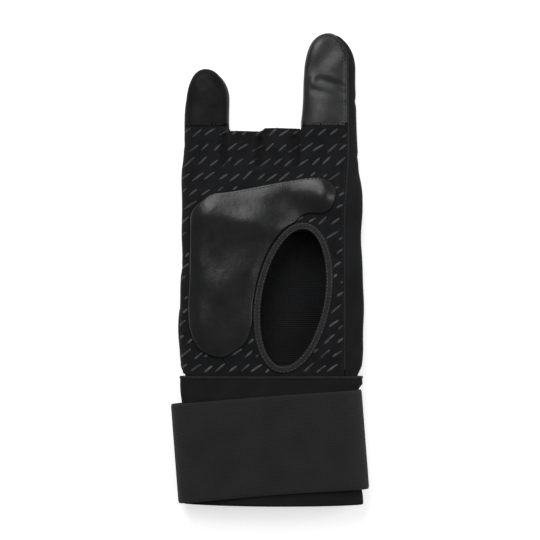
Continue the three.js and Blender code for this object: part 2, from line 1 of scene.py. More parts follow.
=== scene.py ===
# The looks of a bowling glove that lies on its back, palm up, on a pale floor.
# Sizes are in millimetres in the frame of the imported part, and become metres when a mesh is made.
import itertools
import json
import math

import bpy
import numpy as np
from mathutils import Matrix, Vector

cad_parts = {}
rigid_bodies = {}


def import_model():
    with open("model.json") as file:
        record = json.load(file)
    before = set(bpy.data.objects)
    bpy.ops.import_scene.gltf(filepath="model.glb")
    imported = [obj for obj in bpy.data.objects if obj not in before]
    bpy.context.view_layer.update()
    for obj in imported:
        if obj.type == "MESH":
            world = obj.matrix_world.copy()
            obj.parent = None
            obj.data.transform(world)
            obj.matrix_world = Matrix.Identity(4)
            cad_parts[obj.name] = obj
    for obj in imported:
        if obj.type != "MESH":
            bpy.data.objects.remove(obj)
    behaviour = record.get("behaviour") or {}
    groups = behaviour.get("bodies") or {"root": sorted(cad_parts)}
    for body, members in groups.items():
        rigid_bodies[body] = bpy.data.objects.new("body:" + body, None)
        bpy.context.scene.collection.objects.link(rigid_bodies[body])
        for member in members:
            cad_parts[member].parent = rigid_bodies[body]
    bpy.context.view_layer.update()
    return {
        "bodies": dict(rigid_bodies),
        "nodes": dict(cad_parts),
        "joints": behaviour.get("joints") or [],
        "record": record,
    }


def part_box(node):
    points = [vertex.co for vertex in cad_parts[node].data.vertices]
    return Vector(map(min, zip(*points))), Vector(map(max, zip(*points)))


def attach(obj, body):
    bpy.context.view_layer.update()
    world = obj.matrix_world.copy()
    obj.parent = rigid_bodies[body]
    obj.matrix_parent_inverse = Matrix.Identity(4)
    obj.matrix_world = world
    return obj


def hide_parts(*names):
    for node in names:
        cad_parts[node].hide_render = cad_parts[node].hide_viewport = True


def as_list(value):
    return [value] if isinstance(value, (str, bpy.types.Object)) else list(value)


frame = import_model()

MM = 0.001


def node_box(name):
    low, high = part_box(name)
    return np.array(low) / MM, np.array(high) / MM


# Driving sizes of the glove. Its whole fingers are a millimetre or so longer than the solids'.
WRIST = node_box("cuff")[1][1]
HALF_HAND = 58.0
HAND_DEPTH = 21.4
PALM_LENGTH = 132.0
FINGER_DEPTH = 17.5
FINGERTIP_DEPTH = 12.5
FINGER_ROOT = 26.0
FINGER_LEAN = 3.0
FINGER_LAP = 1.1
INDEX_LENGTH = 88.0
HALF_CUFF = 58.0
CUFF_LENGTH = 83.0
CUFF_BASE = 5.7
CUFF_DEPTH = 18.0
CUFF_WALL = 2.5
WALL = 1.8
TUCK_LENGTH = 8.0
GAP = 0.3
HAND_BASE = 1.1
HALFWAY = HAND_BASE + HAND_DEPTH / 2
SEAM_SHARE = 0.46
CROWN_POWER = 2.6
FLAT_POWER = 4.0
HAND_EDGE = 0.966

GRID = 0.8
FINE_GRID = 0.6
GRID_FLATNESS = 0.75


# Curves and smooth joins

def smooth_values(rows, column, at):
    """A monotone cubic curve through one column of a table, read at each value of at."""
    xs = np.array([row["at"] for row in rows], float)
    ys = np.array([row[column] for row in rows], float)
    step, rise = np.diff(xs), np.diff(ys) / np.diff(xs)
    slope = np.zeros(len(xs))
    slope[0], slope[-1] = rise[0], rise[-1]
    same = rise[:-1] * rise[1:] > 0
    with np.errstate(divide="ignore", invalid="ignore"):
        mean = 2 * rise[:-1] * rise[1:] / (rise[:-1] + rise[1:])
    slope[1:-1] = np.where(same, mean, 0.0)
    i = np.clip(np.searchsorted(xs, at) - 1, 0, len(xs) - 2)
    t = np.clip((at - xs[i]) / step[i], 0, 1)
    h00, h10 = (1 + 2 * t) * (1 - t) ** 2, t * (1 - t) ** 2
    h01, h11 = t * t * (3 - 2 * t), t * t * (t - 1)
    return h00 * ys[i] + h10 * step[i] * slope[i] + h01 * ys[i + 1] + h11 * step[i] * slope[i + 1]


def smooth_min(a, b, k):
    h = np.maximum(k - np.abs(a - b), 0) / k
    return np.minimum(a, b) - h * h * k / 4


def smooth_max(a, b, k):
    return -smooth_min(-a, -b, k)


def mix(a, b, t):
    return a + (b - a) * t


def bell(distance, width):
    return np.exp(-(distance / width) ** 2)


def curve_between(a, b, c, d, f):
    """A smooth curve from b to c at the share f, where a comes before b and d after c."""
    return 0.5 * (
        2 * b + (c - a) * f + (2 * a - 5 * b + 4 * c - d) * f ** 2 + (3 * b - a - 3 * c + d) * f ** 3
    )


def table(columns, rows):
    """Rows of values under named columns."""
    return [dict(zip(columns.split(), row)) for row in rows]


# Section tables: at is a share of the palm's or the cuff's length, little and thumb say how far
# each side reaches in shares of the half width, and under and over are shares of the depth.

HAND_ROWS = table("at little thumb under over", [
    (0.055, 0.975, 1.015, 0.12, 0.93),
    (0.15, 0.984, 1.034, 0.02, 0.97),
    (0.28, 0.99, 1.036, 0.0, 1.0),
    (0.44, 0.981, 1.028, 0.0, 1.0),
    (0.66, 0.966, 1.012, 0.0, 0.99),
    (0.8, 0.966, 1.018, 0.0, 0.97),
    (0.87, 0.966, 1.018, 0.0, 0.95),
    (0.935, 0.966, 1.003, 0.0, 0.91),
    (0.985, 0.955, 0.972, 0.01, 0.84),
    (1.03, 0.92, 0.93, 0.09, 0.7),
    (1.07, 0.86, 0.86, 0.22, 0.56),
])
CUFF_ROWS = table("at little thumb", [
    (0, 0.988, 1.015),
    (0.06, 0.992, 1.02),
    (0.08, 0.991, 0.998),
    (0.11, 0.989, 0.974),
    (0.25, 0.965, 0.945),
    (0.55, 0.94, 0.95),
    (0.8, 0.94, 0.99),
    (0.93, 0.945, 1.025),
    (1, 0.965, 1.03),
])

# The hand's tucked end inside the cuff, in shares of the cuff's half width. at is in millimetres.
TUCK_ROWS = table("at little thumb", [(-TUCK_LENGTH, 0.985, 0.97), (0.6, 0.988, 1.015)])

# The fingers: width is a share of the hand's, tip of the finger's own, drift of its width.
FINGERS = {row["name"]: row for row in table("name length width tip drift round depth lean", [
    ("little", 64.5, 0.25, 0.91, 0.04, 20, 0.94, (0, 1)),
    ("ring", 24.5, 0.21, 0.96, 0.0, 0, 0.98, (1, 1)),
    ("middle", 26.5, 0.209, 0.92, 0.0, 0, 1.0, (1, 1)),
    ("index", INDEX_LENGTH, 0.33, 0.85, 0.03, 26, 1.0, (1, 0)),
])}


class Loft:
    """A run of crowned cross-sections along Y: its field is the signed distance to its skin."""

    STEP = 0.25

    def __init__(self, along, left, right, bottom, top, lean_left=0.0, lean_right=0.0, tip=None):
        self.tip_start, self.tip_reach = tip or (along[-1] + 1, 1.0)
        self.columns = [(left + right) / 2, (bottom + top) / 2, (right - left) / 2, (top - bottom) / 2]
        self.slopes = [np.gradient(c, self.STEP) for c in self.columns]
        self.lean_left = np.broadcast_to(lean_left, along.shape).astype(float)
        self.lean_right = np.broadcast_to(lean_right, along.shape).astype(float)
        self.along = along

    def read(self, column, y):
        return np.interp(y, self.along, column)

    def field(self, p):
        x, z = p[..., 0], p[..., 2]
        y = np.minimum(p[..., 1] - WRIST, self.tip_start)
        turn = np.maximum(p[..., 1] - WRIST - self.tip_start, 0) / self.tip_reach
        cx, cz, a, b = (self.read(c, y) for c in self.columns)
        dcx, dcz, da, db = (self.read(c, y) for c in self.slopes)
        w = (z - cz) / b
        rise = np.clip(w, -1, 1)
        side = np.clip((x - cx) / a, -1, 1)
        lean = mix(self.read(self.lean_left, y), self.read(self.lean_right, y), (side + 1) / 2)
        u = (x - cx + lean * rise) / a
        power = np.where(w < 0, FLAT_POWER, CROWN_POWER)
        au, aw = np.abs(u) + 1e-9, np.abs(w) + 1e-9
        g = (au ** power + aw ** power) ** (1 / power)
        gu, gw = (au / g) ** (power - 1), (aw / g) ** (power - 1)
        gy = -gu * (au * da + np.sign(u) * dcx) / a - gw * (aw * db + np.sign(w) * dcz) / b
        whole = np.hypot(g, turn) + 1e-9
        gy = (g * np.where(turn > 0, 0, gy) + turn / self.tip_reach) / whole
        return (whole - 1) / np.sqrt((g / whole) ** 2 * ((gu / a) ** 2 + (gw / b) ** 2) + gy ** 2)


def hand_loft():
    inset = CUFF_WALL + GAP
    rows = [
        {
            "at": row["at"],
            "left": inset - HALF_CUFF * row["little"],
            "right": HALF_CUFF * row["thumb"] - inset,
            "bottom": CUFF_BASE + inset,
            "top": CUFF_BASE + CUFF_DEPTH - inset,
        }
        for row in TUCK_ROWS
    ]
    rows += [
        {
            "at": row["at"] * PALM_LENGTH,
            "left": -HALF_HAND * row["little"],
            "right": HALF_HAND * row["thumb"],
            "bottom": HAND_BASE + row["under"] * HAND_DEPTH,
            "top": HAND_BASE + row["over"] * HAND_DEPTH,
        }
        for row in HAND_ROWS
    ]
    along = np.arange(-TUCK_LENGTH - 2, PALM_LENGTH * HAND_ROWS[-1]["at"] + 1, Loft.STEP)
    return Loft(along, *(smooth_values(rows, name, along) for name in ("left", "right", "bottom", "top")))


ROOT_INSET = 2.5


def finger_lofts():
    lofts = {}
    edge = -HALF_HAND * HAND_EDGE
    for name, finger in FINGERS.items():
        width = finger["width"] * 2 * HALF_HAND
        centre = edge + width / 2
        edge += width - FINGER_LAP
        past = np.arange(-FINGER_ROOT, finger["length"] + 6, Loft.STEP)
        straight = finger["length"] - finger["round"]
        share = np.clip(past / straight, 0, 1)
        depth_share = np.clip(np.minimum(past, straight) / INDEX_LENGTH, 0, 1)
        half = width * mix(1, finger["tip"], share) / 2
        middle = centre + width * finger["drift"] * share
        bottom = HAND_BASE * (1 - depth_share)
        depth = mix(FINGER_DEPTH, FINGERTIP_DEPTH, depth_share) * finger["depth"]
        height = depth / 2
        root = ROOT_INSET * np.clip(-past / FINGER_ROOT, 0, 1)
        lean = [FINGER_LEAN * side * (1 - depth_share) for side in finger["lean"]]
        centre_z = bottom + depth / 2
        lofts[name] = Loft(
            past + PALM_LENGTH,
            middle - half + root,
            middle + half - root,
            centre_z - height + root,
            centre_z + height - root,
            *lean,
            tip=(PALM_LENGTH + straight, finger["round"]) if finger["round"] else None,
        )
        lofts[name].end = PALM_LENGTH + finger["length"]
        lofts[name].open = not finger["round"]
        lofts[name].place = (centre, width)
    return lofts


HAND = hand_loft()
FINGER_LOFTS = finger_lofts()
CROTCH = 2.2


def cuff_loft():
    past = np.arange(-CUFF_LENGTH - 4, 4, Loft.STEP)
    share = np.clip(-past / CUFF_LENGTH, 0, 1)
    left = -HALF_CUFF * smooth_values(CUFF_ROWS, "little", share)
    right = HALF_CUFF * smooth_values(CUFF_ROWS, "thumb", share)
    flat = np.full(past.shape, CUFF_BASE)
    return Loft(past, left, right, flat, flat + CUFF_DEPTH)


CUFF = cuff_loft()

# Folds and dents of the cloth. Each crease runs between two points, in shares of the half hand
# across and of the palm length up from the cuff; depth and width are in millimetres. The palm's
# creases have side 1, the back's have -1.
CREASES = table("from to depth width side", [
    ((-0.515, 1.03), (-0.515, 1.16), 1.3, 1.7, 1),
    ((-0.13, 1.02), (-0.12, 1.14), 1.5, 1.7, 1),
    ((0.28, 1.02), (0.27, 1.15), 1.5, 1.7, 1),
    ((0.55, 1.434), (0.83, 1.392), 0.5, 2.4, 1),
    ((0.5, 1.385), (0.85, 1.347), 0.25, 2.4, 1),
    ((0.5, 1.5), (0.72, 1.6), 0.5, 5.0, 1),
    ((-0.75, 1.42), (-0.6, 1.35), 0.3, 2.2, 1),
    ((-0.7, 1.36), (-0.62, 1.3), 0.25, 2.0, 1),
    ((-0.45, 0.745), (0.62, 0.81), 1.5, 2.4, -1),
    ((0.5, 0.96), (0.42, 1.15), 1.2, 2.6, -1),
    ((0.1, 0.92), (0.12, 1.17), 1.4, 2.6, -1),
    ((-0.38, 0.93), (-0.36, 1.17), 1.3, 2.4, -1),
    ((-0.95, 0.52), (-0.6, 0.6), 0.5, 2.5, -1),
    ((0.7, 1.12), (0.95, 1.06), 0.5, 2.2, -1),
    ((-0.9, 1.12), (-0.55, 1.07), 0.5, 2.2, -1),
    ((0.6, 1.35), (0.95, 1.33), 0.5, 2.5, -1),
])
PALM_LIP, BACK_LIP = 0.45, 0.15

# Broad swells and hollows of the palm, in the same shares, with their half-sizes and their turn.
SWELLS = table("at size turn height", [
    ((-0.28, 0.75), (32, 9), -12, 2.2),
    ((0.33, 0.79), (13, 10), 10, -2.0),
    ((0.66, 0.85), (11, 12), 0, 3.4),
    ((-0.66, 0.35), (13, 70), 2, 0.45),
    ((0.05, 0.56), (14, 8), 32, -0.6),
])

WAVES = 9
WAVE_LENGTHS = (17, 46)
WAVE_HEIGHT = 0.13
wave_random = np.random.default_rng(7)
WAVE_TURNS = wave_random.uniform(0, math.pi, WAVES)
WAVE_NUMBERS = 2 * math.pi / wave_random.uniform(*WAVE_LENGTHS, WAVES)
WAVE_STARTS = wave_random.uniform(0, 2 * math.pi, WAVES)


def hand_place(share):
    return share[0] * HALF_HAND, WRIST + share[1] * PALM_LENGTH


def segment_distance(x, y, start, end):
    dx, dy = end[0] - start[0], end[1] - start[1]
    t = np.clip(((x - start[0]) * dx + (y - start[1]) * dy) / (dx * dx + dy * dy), 0, 1)
    return np.hypot(x - start[0] - t * dx, y - start[1] - t * dy)


def waves(x, y, z):
    total = np.zeros_like(x)
    bend = 2.5 * np.sin(x / 19 + 1.3) + 2.5 * np.sin(y / 23)
    for turn, number, start in zip(WAVE_TURNS, WAVE_NUMBERS, WAVE_STARTS):
        total += np.sin(number * (x * math.cos(turn) + y * math.sin(turn) + bend + 0.6 * z) + start)
    return total * WAVE_HEIGHT


def relief(p):
    """How far the cloth stands out of the plain form."""
    x, y, z = p[..., 0], p[..., 1], p[..., 2]
    over = np.clip((z - 9.0) / 5.0, 0, 1)
    total = waves(x, y, z)
    for crease in CREASES:
        d = segment_distance(x, y, hand_place(crease["from"]), hand_place(crease["to"]))
        share, lip = (over, PALM_LIP) if crease["side"] > 0 else (1 - over, BACK_LIP)
        w = crease["width"]
        total += share * crease["depth"] * (lip * bell(d - 1.9 * w, w) - bell(d, w))
    for swell in SWELLS:
        cx, cy = hand_place(swell["at"])
        turn = math.radians(swell["turn"])
        across = (x - cx) * math.cos(turn) + (y - cy) * math.sin(turn)
        up = (y - cy) * math.cos(turn) - (x - cx) * math.sin(turn)
        reach = np.hypot(across / swell["size"][0], up / swell["size"][1])
        total += over * swell["height"] * bell(reach, 1.0)
    return total


def hand_fields(p):
    """Distances to the outer skin, with its closed tips and stub ends, and to the skin that runs on."""
    v = p[..., 1] - WRIST
    outer = HAND.field(p)
    top = HAND.along[-1]
    outer = np.where(v > top, np.maximum(outer, v - top), outer)
    through = outer.copy()
    near = v > PALM_LENGTH - FINGER_ROOT - 1
    q = p[near]
    vq = v[near]
    closed, running = outer[near], through[near]
    for loft in FINGER_LOFTS.values():
        d = loft.field(q)
        d = np.maximum(d, PALM_LENGTH - FINGER_ROOT - vq)
        closed = smooth_min(closed, smooth_max(d, vq - loft.end, 1.0) if loft.open else d, CROTCH)
        running = smooth_min(running, d, CROTCH)
    outer[near], through[near] = closed, running
    bulge = relief(p)
    return outer - bulge, through - bulge


# Seams and outlines of the cut pieces

LEATHER_LINE = PALM_LENGTH + 29
INDEX_CENTRE, INDEX_WIDTH = FINGER_LOFTS["index"].place
INDEX_END = PALM_LENGTH + INDEX_LENGTH
THUMB_SEAM = HALF_HAND * 0.82
INDEX_SEAM = INDEX_CENTRE + INDEX_WIDTH * 0.33
GUSSET_SEAM = -HALF_HAND * HAND_EDGE + 12.5
UNDER_LEATHER = INDEX_CENTRE - INDEX_WIDTH / 2 + 10
PATCH_LEFT, PATCH_RIGHT = -0.465 * HALF_HAND, 0.855 * HALF_HAND
PATCH_LOW = 0.14 * PALM_LENGTH
PATCH_LENGTH = 48.0


def seam_height_rows():
    along = np.arange(-8, INDEX_END, 1.0)
    hand_cz, hand_b = HAND.read(HAND.columns[1], along), HAND.read(HAND.columns[3], along)
    index = FINGER_LOFTS["index"]
    straight = np.minimum(along, INDEX_END - 27)
    cz, b = index.read(index.columns[1], straight), index.read(index.columns[3], straight)
    share = np.clip((along - PALM_LENGTH * 0.9) / 12, 0, 1)
    level = mix(hand_cz + hand_b * (2 * SEAM_SHARE - 1), cz + b * (2 * SEAM_SHARE - 1), share)
    return along, level


SEAM_ALONG, SEAM_LEVEL = seam_height_rows()


def above_seam(p):
    return p[..., 2] - np.interp(p[..., 1] - WRIST, SEAM_ALONG, SEAM_LEVEL)


HOLE_LONG, HOLE_SHORT = 44.2, 19.8
HOLE_TURN = math.radians(10)
HOLE_CENTRE = (0.253 * HALF_HAND, WRIST + 0.378 * PALM_LENGTH)
TAPE_WALL = 0.9
HOLE_TAPE_WIDTH = 4.4


def thumb_hole(p):
    """Plan distance outside the thumb hole's ellipse."""
    turn = HOLE_TURN
    cx, cy = HOLE_CENTRE
    dx, dy = p[..., 0] - cx, p[..., 1] - cy
    along = dx * math.sin(turn) + dy * math.cos(turn)
    across = dx * math.cos(turn) - dy * math.sin(turn)
    e = np.hypot(along / HOLE_LONG, across / HOLE_SHORT) + 1e-9
    slope = np.hypot(along / HOLE_LONG ** 2, across / HOLE_SHORT ** 2) / e + 1e-9
    return (e - 1) / slope


SEAM_RUN = [
    (0.0, THUMB_SEAM),
    (PALM_LENGTH * 0.8, THUMB_SEAM),
    (PALM_LENGTH * 1.06, INDEX_SEAM),
    (INDEX_END - 0.16 * INDEX_LENGTH, INDEX_SEAM),
    (INDEX_END - 0.08 * INDEX_LENGTH, INDEX_SEAM - 0.085 * INDEX_WIDTH),
    (INDEX_END, INDEX_SEAM - 0.25 * INDEX_WIDTH),
]


def seam_x(v):
    return np.interp(v, *zip(*SEAM_RUN))


def palm_side(p):
    """All that lies on the palm's side of the seams, leather caps included."""
    return np.maximum(-above_seam(p), p[..., 0] - seam_x(p[..., 1] - WRIST))


def palm_region(p):
    return np.maximum(palm_side(p), p[..., 1] - WRIST - LEATHER_LINE)


def index_region(p):
    v = p[..., 1] - WRIST
    over = np.maximum(palm_side(p), LEATHER_LINE - LEATHER_LAP - v)
    under = np.maximum(above_seam(p) - GAP, p[..., 0] - UNDER_LEATHER)
    under = np.maximum(under, np.maximum(v - (INDEX_END - 5), LEATHER_LINE - v))
    return np.maximum(np.minimum(over, under), -p[..., 0])


def little_region(p):
    v = p[..., 1] - WRIST
    return np.maximum(np.maximum(-above_seam(p), p[..., 0]), LEATHER_LINE - LEATHER_LAP - v)


def gusset_region(p):
    return np.maximum(above_seam(p) + GAP, p[..., 0] - GUSSET_SEAM)


def rounded_box(x, y, low, high, radius):
    """Signed distance to a box with round corners, in plan."""
    cx, cy = (low[0] + high[0]) / 2, (low[1] + high[1]) / 2
    dx = np.abs(x - cx) - (high[0] - low[0]) / 2 + radius
    dy = np.abs(y - cy) - (high[1] - low[1]) / 2 + radius
    return np.hypot(np.maximum(dx, 0), np.maximum(dy, 0)) + np.minimum(np.maximum(dx, dy), 0) - radius


WINDOW_CORNER = 11.5
WINDOW_LOW = (PATCH_LEFT + 1.4, WRIST + 0.06 * PALM_LENGTH)
WINDOW_HIGH = (PATCH_RIGHT - 1.4, WRIST + 0.68 * PALM_LENGTH)


def window_region(p):
    plan = rounded_box(p[..., 0], p[..., 1], WINDOW_LOW, WINDOW_HIGH, WINDOW_CORNER)
    return np.maximum(plan, p[..., 2] - HALFWAY)


class Outline:
    """Signed plan distance to a smooth closed curve, read from a fine grid."""

    STEP = 0.4

    def __init__(self, points):
        points = np.array(points, float)
        n = len(points)
        t = np.linspace(0, n, n * 8, endpoint=False)
        i = t.astype(int)
        f = (t - i)[:, None]
        a, b, c, d = (points[(i + k) % n] for k in (-1, 0, 1, 2))
        self.curve = curve = curve_between(a, b, c, d, f)
        self.low = curve.min(0) - 8
        size = np.ceil((curve.max(0) + 8 - self.low) / self.STEP).astype(int)
        xs = self.low[0] + np.arange(size[0]) * self.STEP
        ys = self.low[1] + np.arange(size[1]) * self.STEP
        x, y = np.meshgrid(xs, ys, indexing="ij")
        nearest = np.full(x.shape, 1e9)
        inside = np.zeros(x.shape, bool)
        for start, end in zip(curve, np.roll(curve, -1, 0)):
            nearest = np.minimum(nearest, segment_distance(x, y, start, end))
            crosses = (start[1] > y) != (end[1] > y)
            rise = np.where(crosses, end[1] - start[1], 1.0)
            inside ^= crosses & (x < start[0] + (y - start[1]) / rise * (end[0] - start[0]))
        self.grid = np.where(inside, -nearest, nearest)

    def distance(self, x, y):
        gx = np.clip((x - self.low[0]) / self.STEP, 0, self.grid.shape[0] - 1.001)
        gy = np.clip((y - self.low[1]) / self.STEP, 0, self.grid.shape[1] - 1.001)
        i, j = gx.astype(int), gy.astype(int)
        fx, fy = gx - i, gy - j
        g = self.grid
        low = mix(g[i, j], g[i + 1, j], fx)
        high = mix(g[i, j + 1], g[i + 1, j + 1], fx)
        return mix(low, high, fy)


PAD_OUTLINE = Outline([
    hand_place(share)
    for share in [
        (-0.868, 0.785), (-0.765, 0.842), (-0.63, 0.882), (-0.41, 0.895), (0.19, 0.944), (0.54, 0.962),
        (0.7, 0.915), (0.71, 0.85), (0.6, 0.79), (0.336, 0.77), (0.05, 0.6), (-0.1, 0.48), (-0.18, 0.36),
        (-0.2, 0.25), (-0.26, 0.165), (-0.414, 0.111), (-0.56, 0.089), (-0.76, 0.125), (-0.87, 0.21),
        (-0.9, 0.314), (-0.888, 0.46), (-0.878, 0.69),
    ]
])
PAD_WALL = 2.2
WING_WIDTH, WING_HEIGHT = 14.5, 44.5
WING_EDGE = [
    (0.52, 0.0), (0.7, 0.17), (0.83, 0.36), (0.77, 0.58), (0.64, 0.75), (0.56, 0.87), (0.61, 0.965),
    (0.79, 0.99), (0.92, 0.93),
]


# Fields of the sewn pieces. Every edge turns in a little towards its seam.

SEAM_TURN = 0.5
SEAM_DIP = 0.2
SEAM_REACH = 1.6
LEATHER_RISE = 0.5
LEATHER_LAP = 1.6


def layer(distance, low, high, turn=0.3):
    """A layer between two heights over a skin, with its edges turned in."""
    return smooth_max(distance - high, low - distance, turn)


def shell(p, region):
    """The hand's wall inside a region, with its closed end in the cuff."""
    outer, through = hand_fields(p)
    outer = outer + SEAM_DIP * bell(np.minimum(region, 0), SEAM_REACH)
    body = smooth_max(outer, -(through + WALL), 0.6)
    body = np.maximum(body, WRIST - TUCK_LENGTH - p[..., 1])
    return smooth_max(body, region, SEAM_TURN)


def palm_panel(p):
    hole = np.where(p[..., 2] > HALFWAY - 3, TAPE_WALL + GAP - thumb_hole(p), -9.0)
    return smooth_max(shell(p, palm_region(p)), hole, 0.5)


def cap(p, region):
    """A leather finger cap, sewn a little over the palm's edge."""
    outer, through = hand_fields(p)
    outer = outer + SEAM_DIP * bell(np.minimum(region, 0), SEAM_REACH)
    over_palm = (p[..., 1] - WRIST < LEATHER_LINE + 1.5 * GAP) & (palm_side(p) < GAP)
    inner = np.where(over_palm, 0.08 - outer, -(through + WALL))
    rise = LEATHER_RISE * np.clip(-palm_side(p) / 3.0, 0.1, 1)
    return smooth_max(np.maximum(outer - rise, inner), region, SEAM_TURN)


def index_leather(p):
    return cap(p, index_region(p))


def little_leather(p):
    return cap(p, little_region(p))


def gusset(p):
    return shell(p, gusset_region(p))


def back_panel(p):
    over = palm_side(p)
    others = np.minimum(over, np.minimum(index_region(p), gusset_region(p)))
    others = np.minimum(others, window_region(p))
    panel = shell(p, GAP - others)
    return np.maximum(panel, vent_field(p))


VENT_RADIUS = 0.6
VENT_PITCH = 18.2
FIRST_VENT = WRIST + PALM_LENGTH - 6
VENT_ROWS = table("finger share count", [
    ("index", 0.1, 5), ("middle", 0.3, 2), ("ring", 0.26, 2), ("little", 0.16, 4),
])


def vent_place(finger, share, i):
    centre, width = FINGER_LOFTS[finger].place
    return centre + share * width, FIRST_VENT + VENT_PITCH * i


VENTS = [vent_place(row["finger"], row["share"], i) for row in VENT_ROWS for i in range(row["count"])]


def vent_field(p):
    field = np.full(p.shape[:-1], -9.0)
    for x, y in VENTS:
        field = np.maximum(field, VENT_RADIUS - np.hypot(p[..., 0] - x, p[..., 1] - y))
    return np.where(p[..., 2] < 6, field, -9.0)


RIB_PITCH = 1.25
# Painted shade: above this height, on its inner face inside the hand, the window knit is coloured darker
# and plain.
INNER_SHADE_LEVEL = 2.1
RIB_HEIGHT = 0.22
KNIT_RECESS = 0.5


def knit_window(p):
    outer, through = hand_fields(p)
    ribs = RIB_HEIGHT * np.cos(2 * math.pi * p[..., 1] / RIB_PITCH)
    body = smooth_max(outer + KNIT_RECESS - ribs, -(through + WALL), 0.4)
    return smooth_max(body, window_region(p) + GAP, 0.8)


def pad_fullness(plan):
    """The pad's thickness as a share of its full one, from its outline inwards."""
    return 0.45 + 0.55 * np.sin(np.clip(-plan / 9, 0, 1) * math.pi / 2)


def palm_pad(p):
    outer, _ = hand_fields(p)
    plan = PAD_OUTLINE.distance(p[..., 0], p[..., 1])
    thick = GAP + PAD_WALL * pad_fullness(plan)
    body = layer(outer, GAP, thick, 0.5)
    body = smooth_max(body, plan, 0.9)
    body = smooth_max(body, HOLE_TAPE_WIDTH + GAP - thumb_hole(p), 0.8)
    return np.maximum(body, HALFWAY - p[..., 2])


def wing_line():
    edge = -HALF_HAND * HAND_EDGE
    points = np.array([(edge + a * WING_WIDTH, WRIST + 1 + b * WING_HEIGHT) for a, b in WING_EDGE])
    padded = np.vstack([2 * points[0] - points[1], points, 2 * points[-1] - points[-2]])
    line = []
    for i in range(1, len(padded) - 2):
        line += [curve_between(*padded[i - 1:i + 3], f) for f in np.linspace(0, 1, 5, endpoint=False)]
    return np.array(line + [points[-1]])


WING_LINE = wing_line()
WING_SHOULDER = int(len(WING_LINE) * 0.75)
WING_WALL = 1.1
EDGE_TAPE_WIDTH = 4.2


def wing_distance(p):
    x, y = p[..., 0], p[..., 1]
    return np.min([segment_distance(x, y, a, b) for a, b in zip(WING_LINE[:-1], WING_LINE[1:])], axis=0)


def wing_wall(p):
    """The wing thins towards its top end and towards the side seam."""
    top = np.clip((WING_LINE[:, 1].max() + 3 - p[..., 1]) / 10, 0.35, 1)
    side = np.clip(-above_seam(p) / 5, 0.55, 1)
    return WING_WALL * top * side


def side_wing(p):
    outer, _ = hand_fields(p)
    line = WING_LINE[:WING_SHOULDER + 1]
    edge_x = np.interp(p[..., 1], line[:, 1], line[:, 0])
    region = np.maximum(p[..., 0] - edge_x, p[..., 1] - line[-1, 1])
    region = np.maximum(region, np.maximum(above_seam(p), WRIST + 1 - p[..., 1]))
    region = np.maximum(region, EDGE_TAPE_WIDTH / 2 + GAP - wing_distance(p))
    return smooth_max(layer(outer, GAP, GAP + wing_wall(p)), region, 0.7)


def wing_binding(p):
    outer, _ = hand_fields(p)
    across = wing_distance(p)
    crown = 0.35 * np.clip(1 - (across / (EDGE_TAPE_WIDTH / 2)) ** 2, 0, 1)
    body = layer(outer, GAP, GAP + wing_wall(p) + crown)
    region = np.maximum(across - EDGE_TAPE_WIDTH / 2, np.maximum(above_seam(p), WRIST + 1 - p[..., 1]))
    return smooth_max(body, region, 0.7)


FLAP_LEFT = -HALF_CUFF * 0.9
FLAP_REACH = 88.0
FLAP_SETBACK = 1.5
FLAP_CORNER = 8.0
FLAP_WALL = 1.6
TAPE_RISE = 0.4
TAB_WIDTH, TAB_LENGTH, TAB_WALL = 11.0, 14.0, 1.0
TAB_RIB_PITCH = 1.8
TAB_LOW = WRIST - FLAP_SETBACK - TAB_LENGTH
HOOK_WIDTH, HOOK_LENGTH, HOOK_WALL = 18.0, 52.0, 0.9


def flap_plan(p, inset):
    low = (-200.0, WRIST - CUFF_LENGTH + FLAP_SETBACK + inset)
    high = (FLAP_LEFT + FLAP_REACH - inset, WRIST - FLAP_SETBACK - inset)
    plan = rounded_box(p[..., 0], p[..., 1], low, high, FLAP_CORNER - inset)
    return np.maximum(plan, FLAP_LEFT - p[..., 0])


def under_cuff(p):
    return p[..., 2] - (CUFF_BASE + CUFF_DEPTH * 0.3)


def cuff_waves(p):
    return 0.6 * waves(p[..., 0] * 0.9 + 31, p[..., 1] * 1.3, p[..., 2])


def cuff_flap(p):
    d = CUFF.field(p)
    region = np.maximum(flap_plan(p, EDGE_TAPE_WIDTH + GAP), under_cuff(p))
    return smooth_max(layer(d, GAP, GAP + FLAP_WALL), region, 0.5)


def flap_binding(p):
    d = CUFF.field(p)
    inner = -flap_plan(p, EDGE_TAPE_WIDTH)
    rim = np.minimum(-flap_plan(p, 0), -inner)
    crown = TAPE_RISE * np.clip(np.minimum(-flap_plan(p, 0), EDGE_TAPE_WIDTH + flap_plan(p, 0)) / 1.2, 0, 1)
    body = layer(d, GAP, GAP + FLAP_WALL + crown)
    band = np.maximum(np.maximum(flap_plan(p, 0), inner), under_cuff(p))
    return smooth_max(body, band, 0.6)


def flap_tab(p):
    d = CUFF.field(p)
    rise = GAP + FLAP_WALL + GAP + TAPE_RISE
    ribs = 0.12 * np.cos(2 * math.pi * p[..., 0] / TAB_RIB_PITCH)
    low, high = (FLAP_LEFT, TAB_LOW), (FLAP_LEFT + TAB_WIDTH, TAB_LOW + TAB_LENGTH)
    plan = rounded_box(p[..., 0], p[..., 1], low, high, 1.5)
    return smooth_max(layer(d, rise, rise + TAB_WALL + ribs), np.maximum(plan, under_cuff(p)), 0.5)


def hook_patch(p):
    d = CUFF.field(p)
    rise = GAP + FLAP_WALL + GAP
    left, high = FLAP_LEFT + TAB_WIDTH + GAP, WRIST - FLAP_SETBACK - EDGE_TAPE_WIDTH - GAP
    plan = rounded_box(p[..., 0], p[..., 1], (left, high - HOOK_LENGTH), (left + HOOK_WIDTH, high), 1.5)
    return smooth_max(layer(d, rise, rise + HOOK_WALL), np.maximum(plan, under_cuff(p)), 0.5)


CUFF_BOW = 1.2
CUFF_BOW_MIDDLE = 10.0


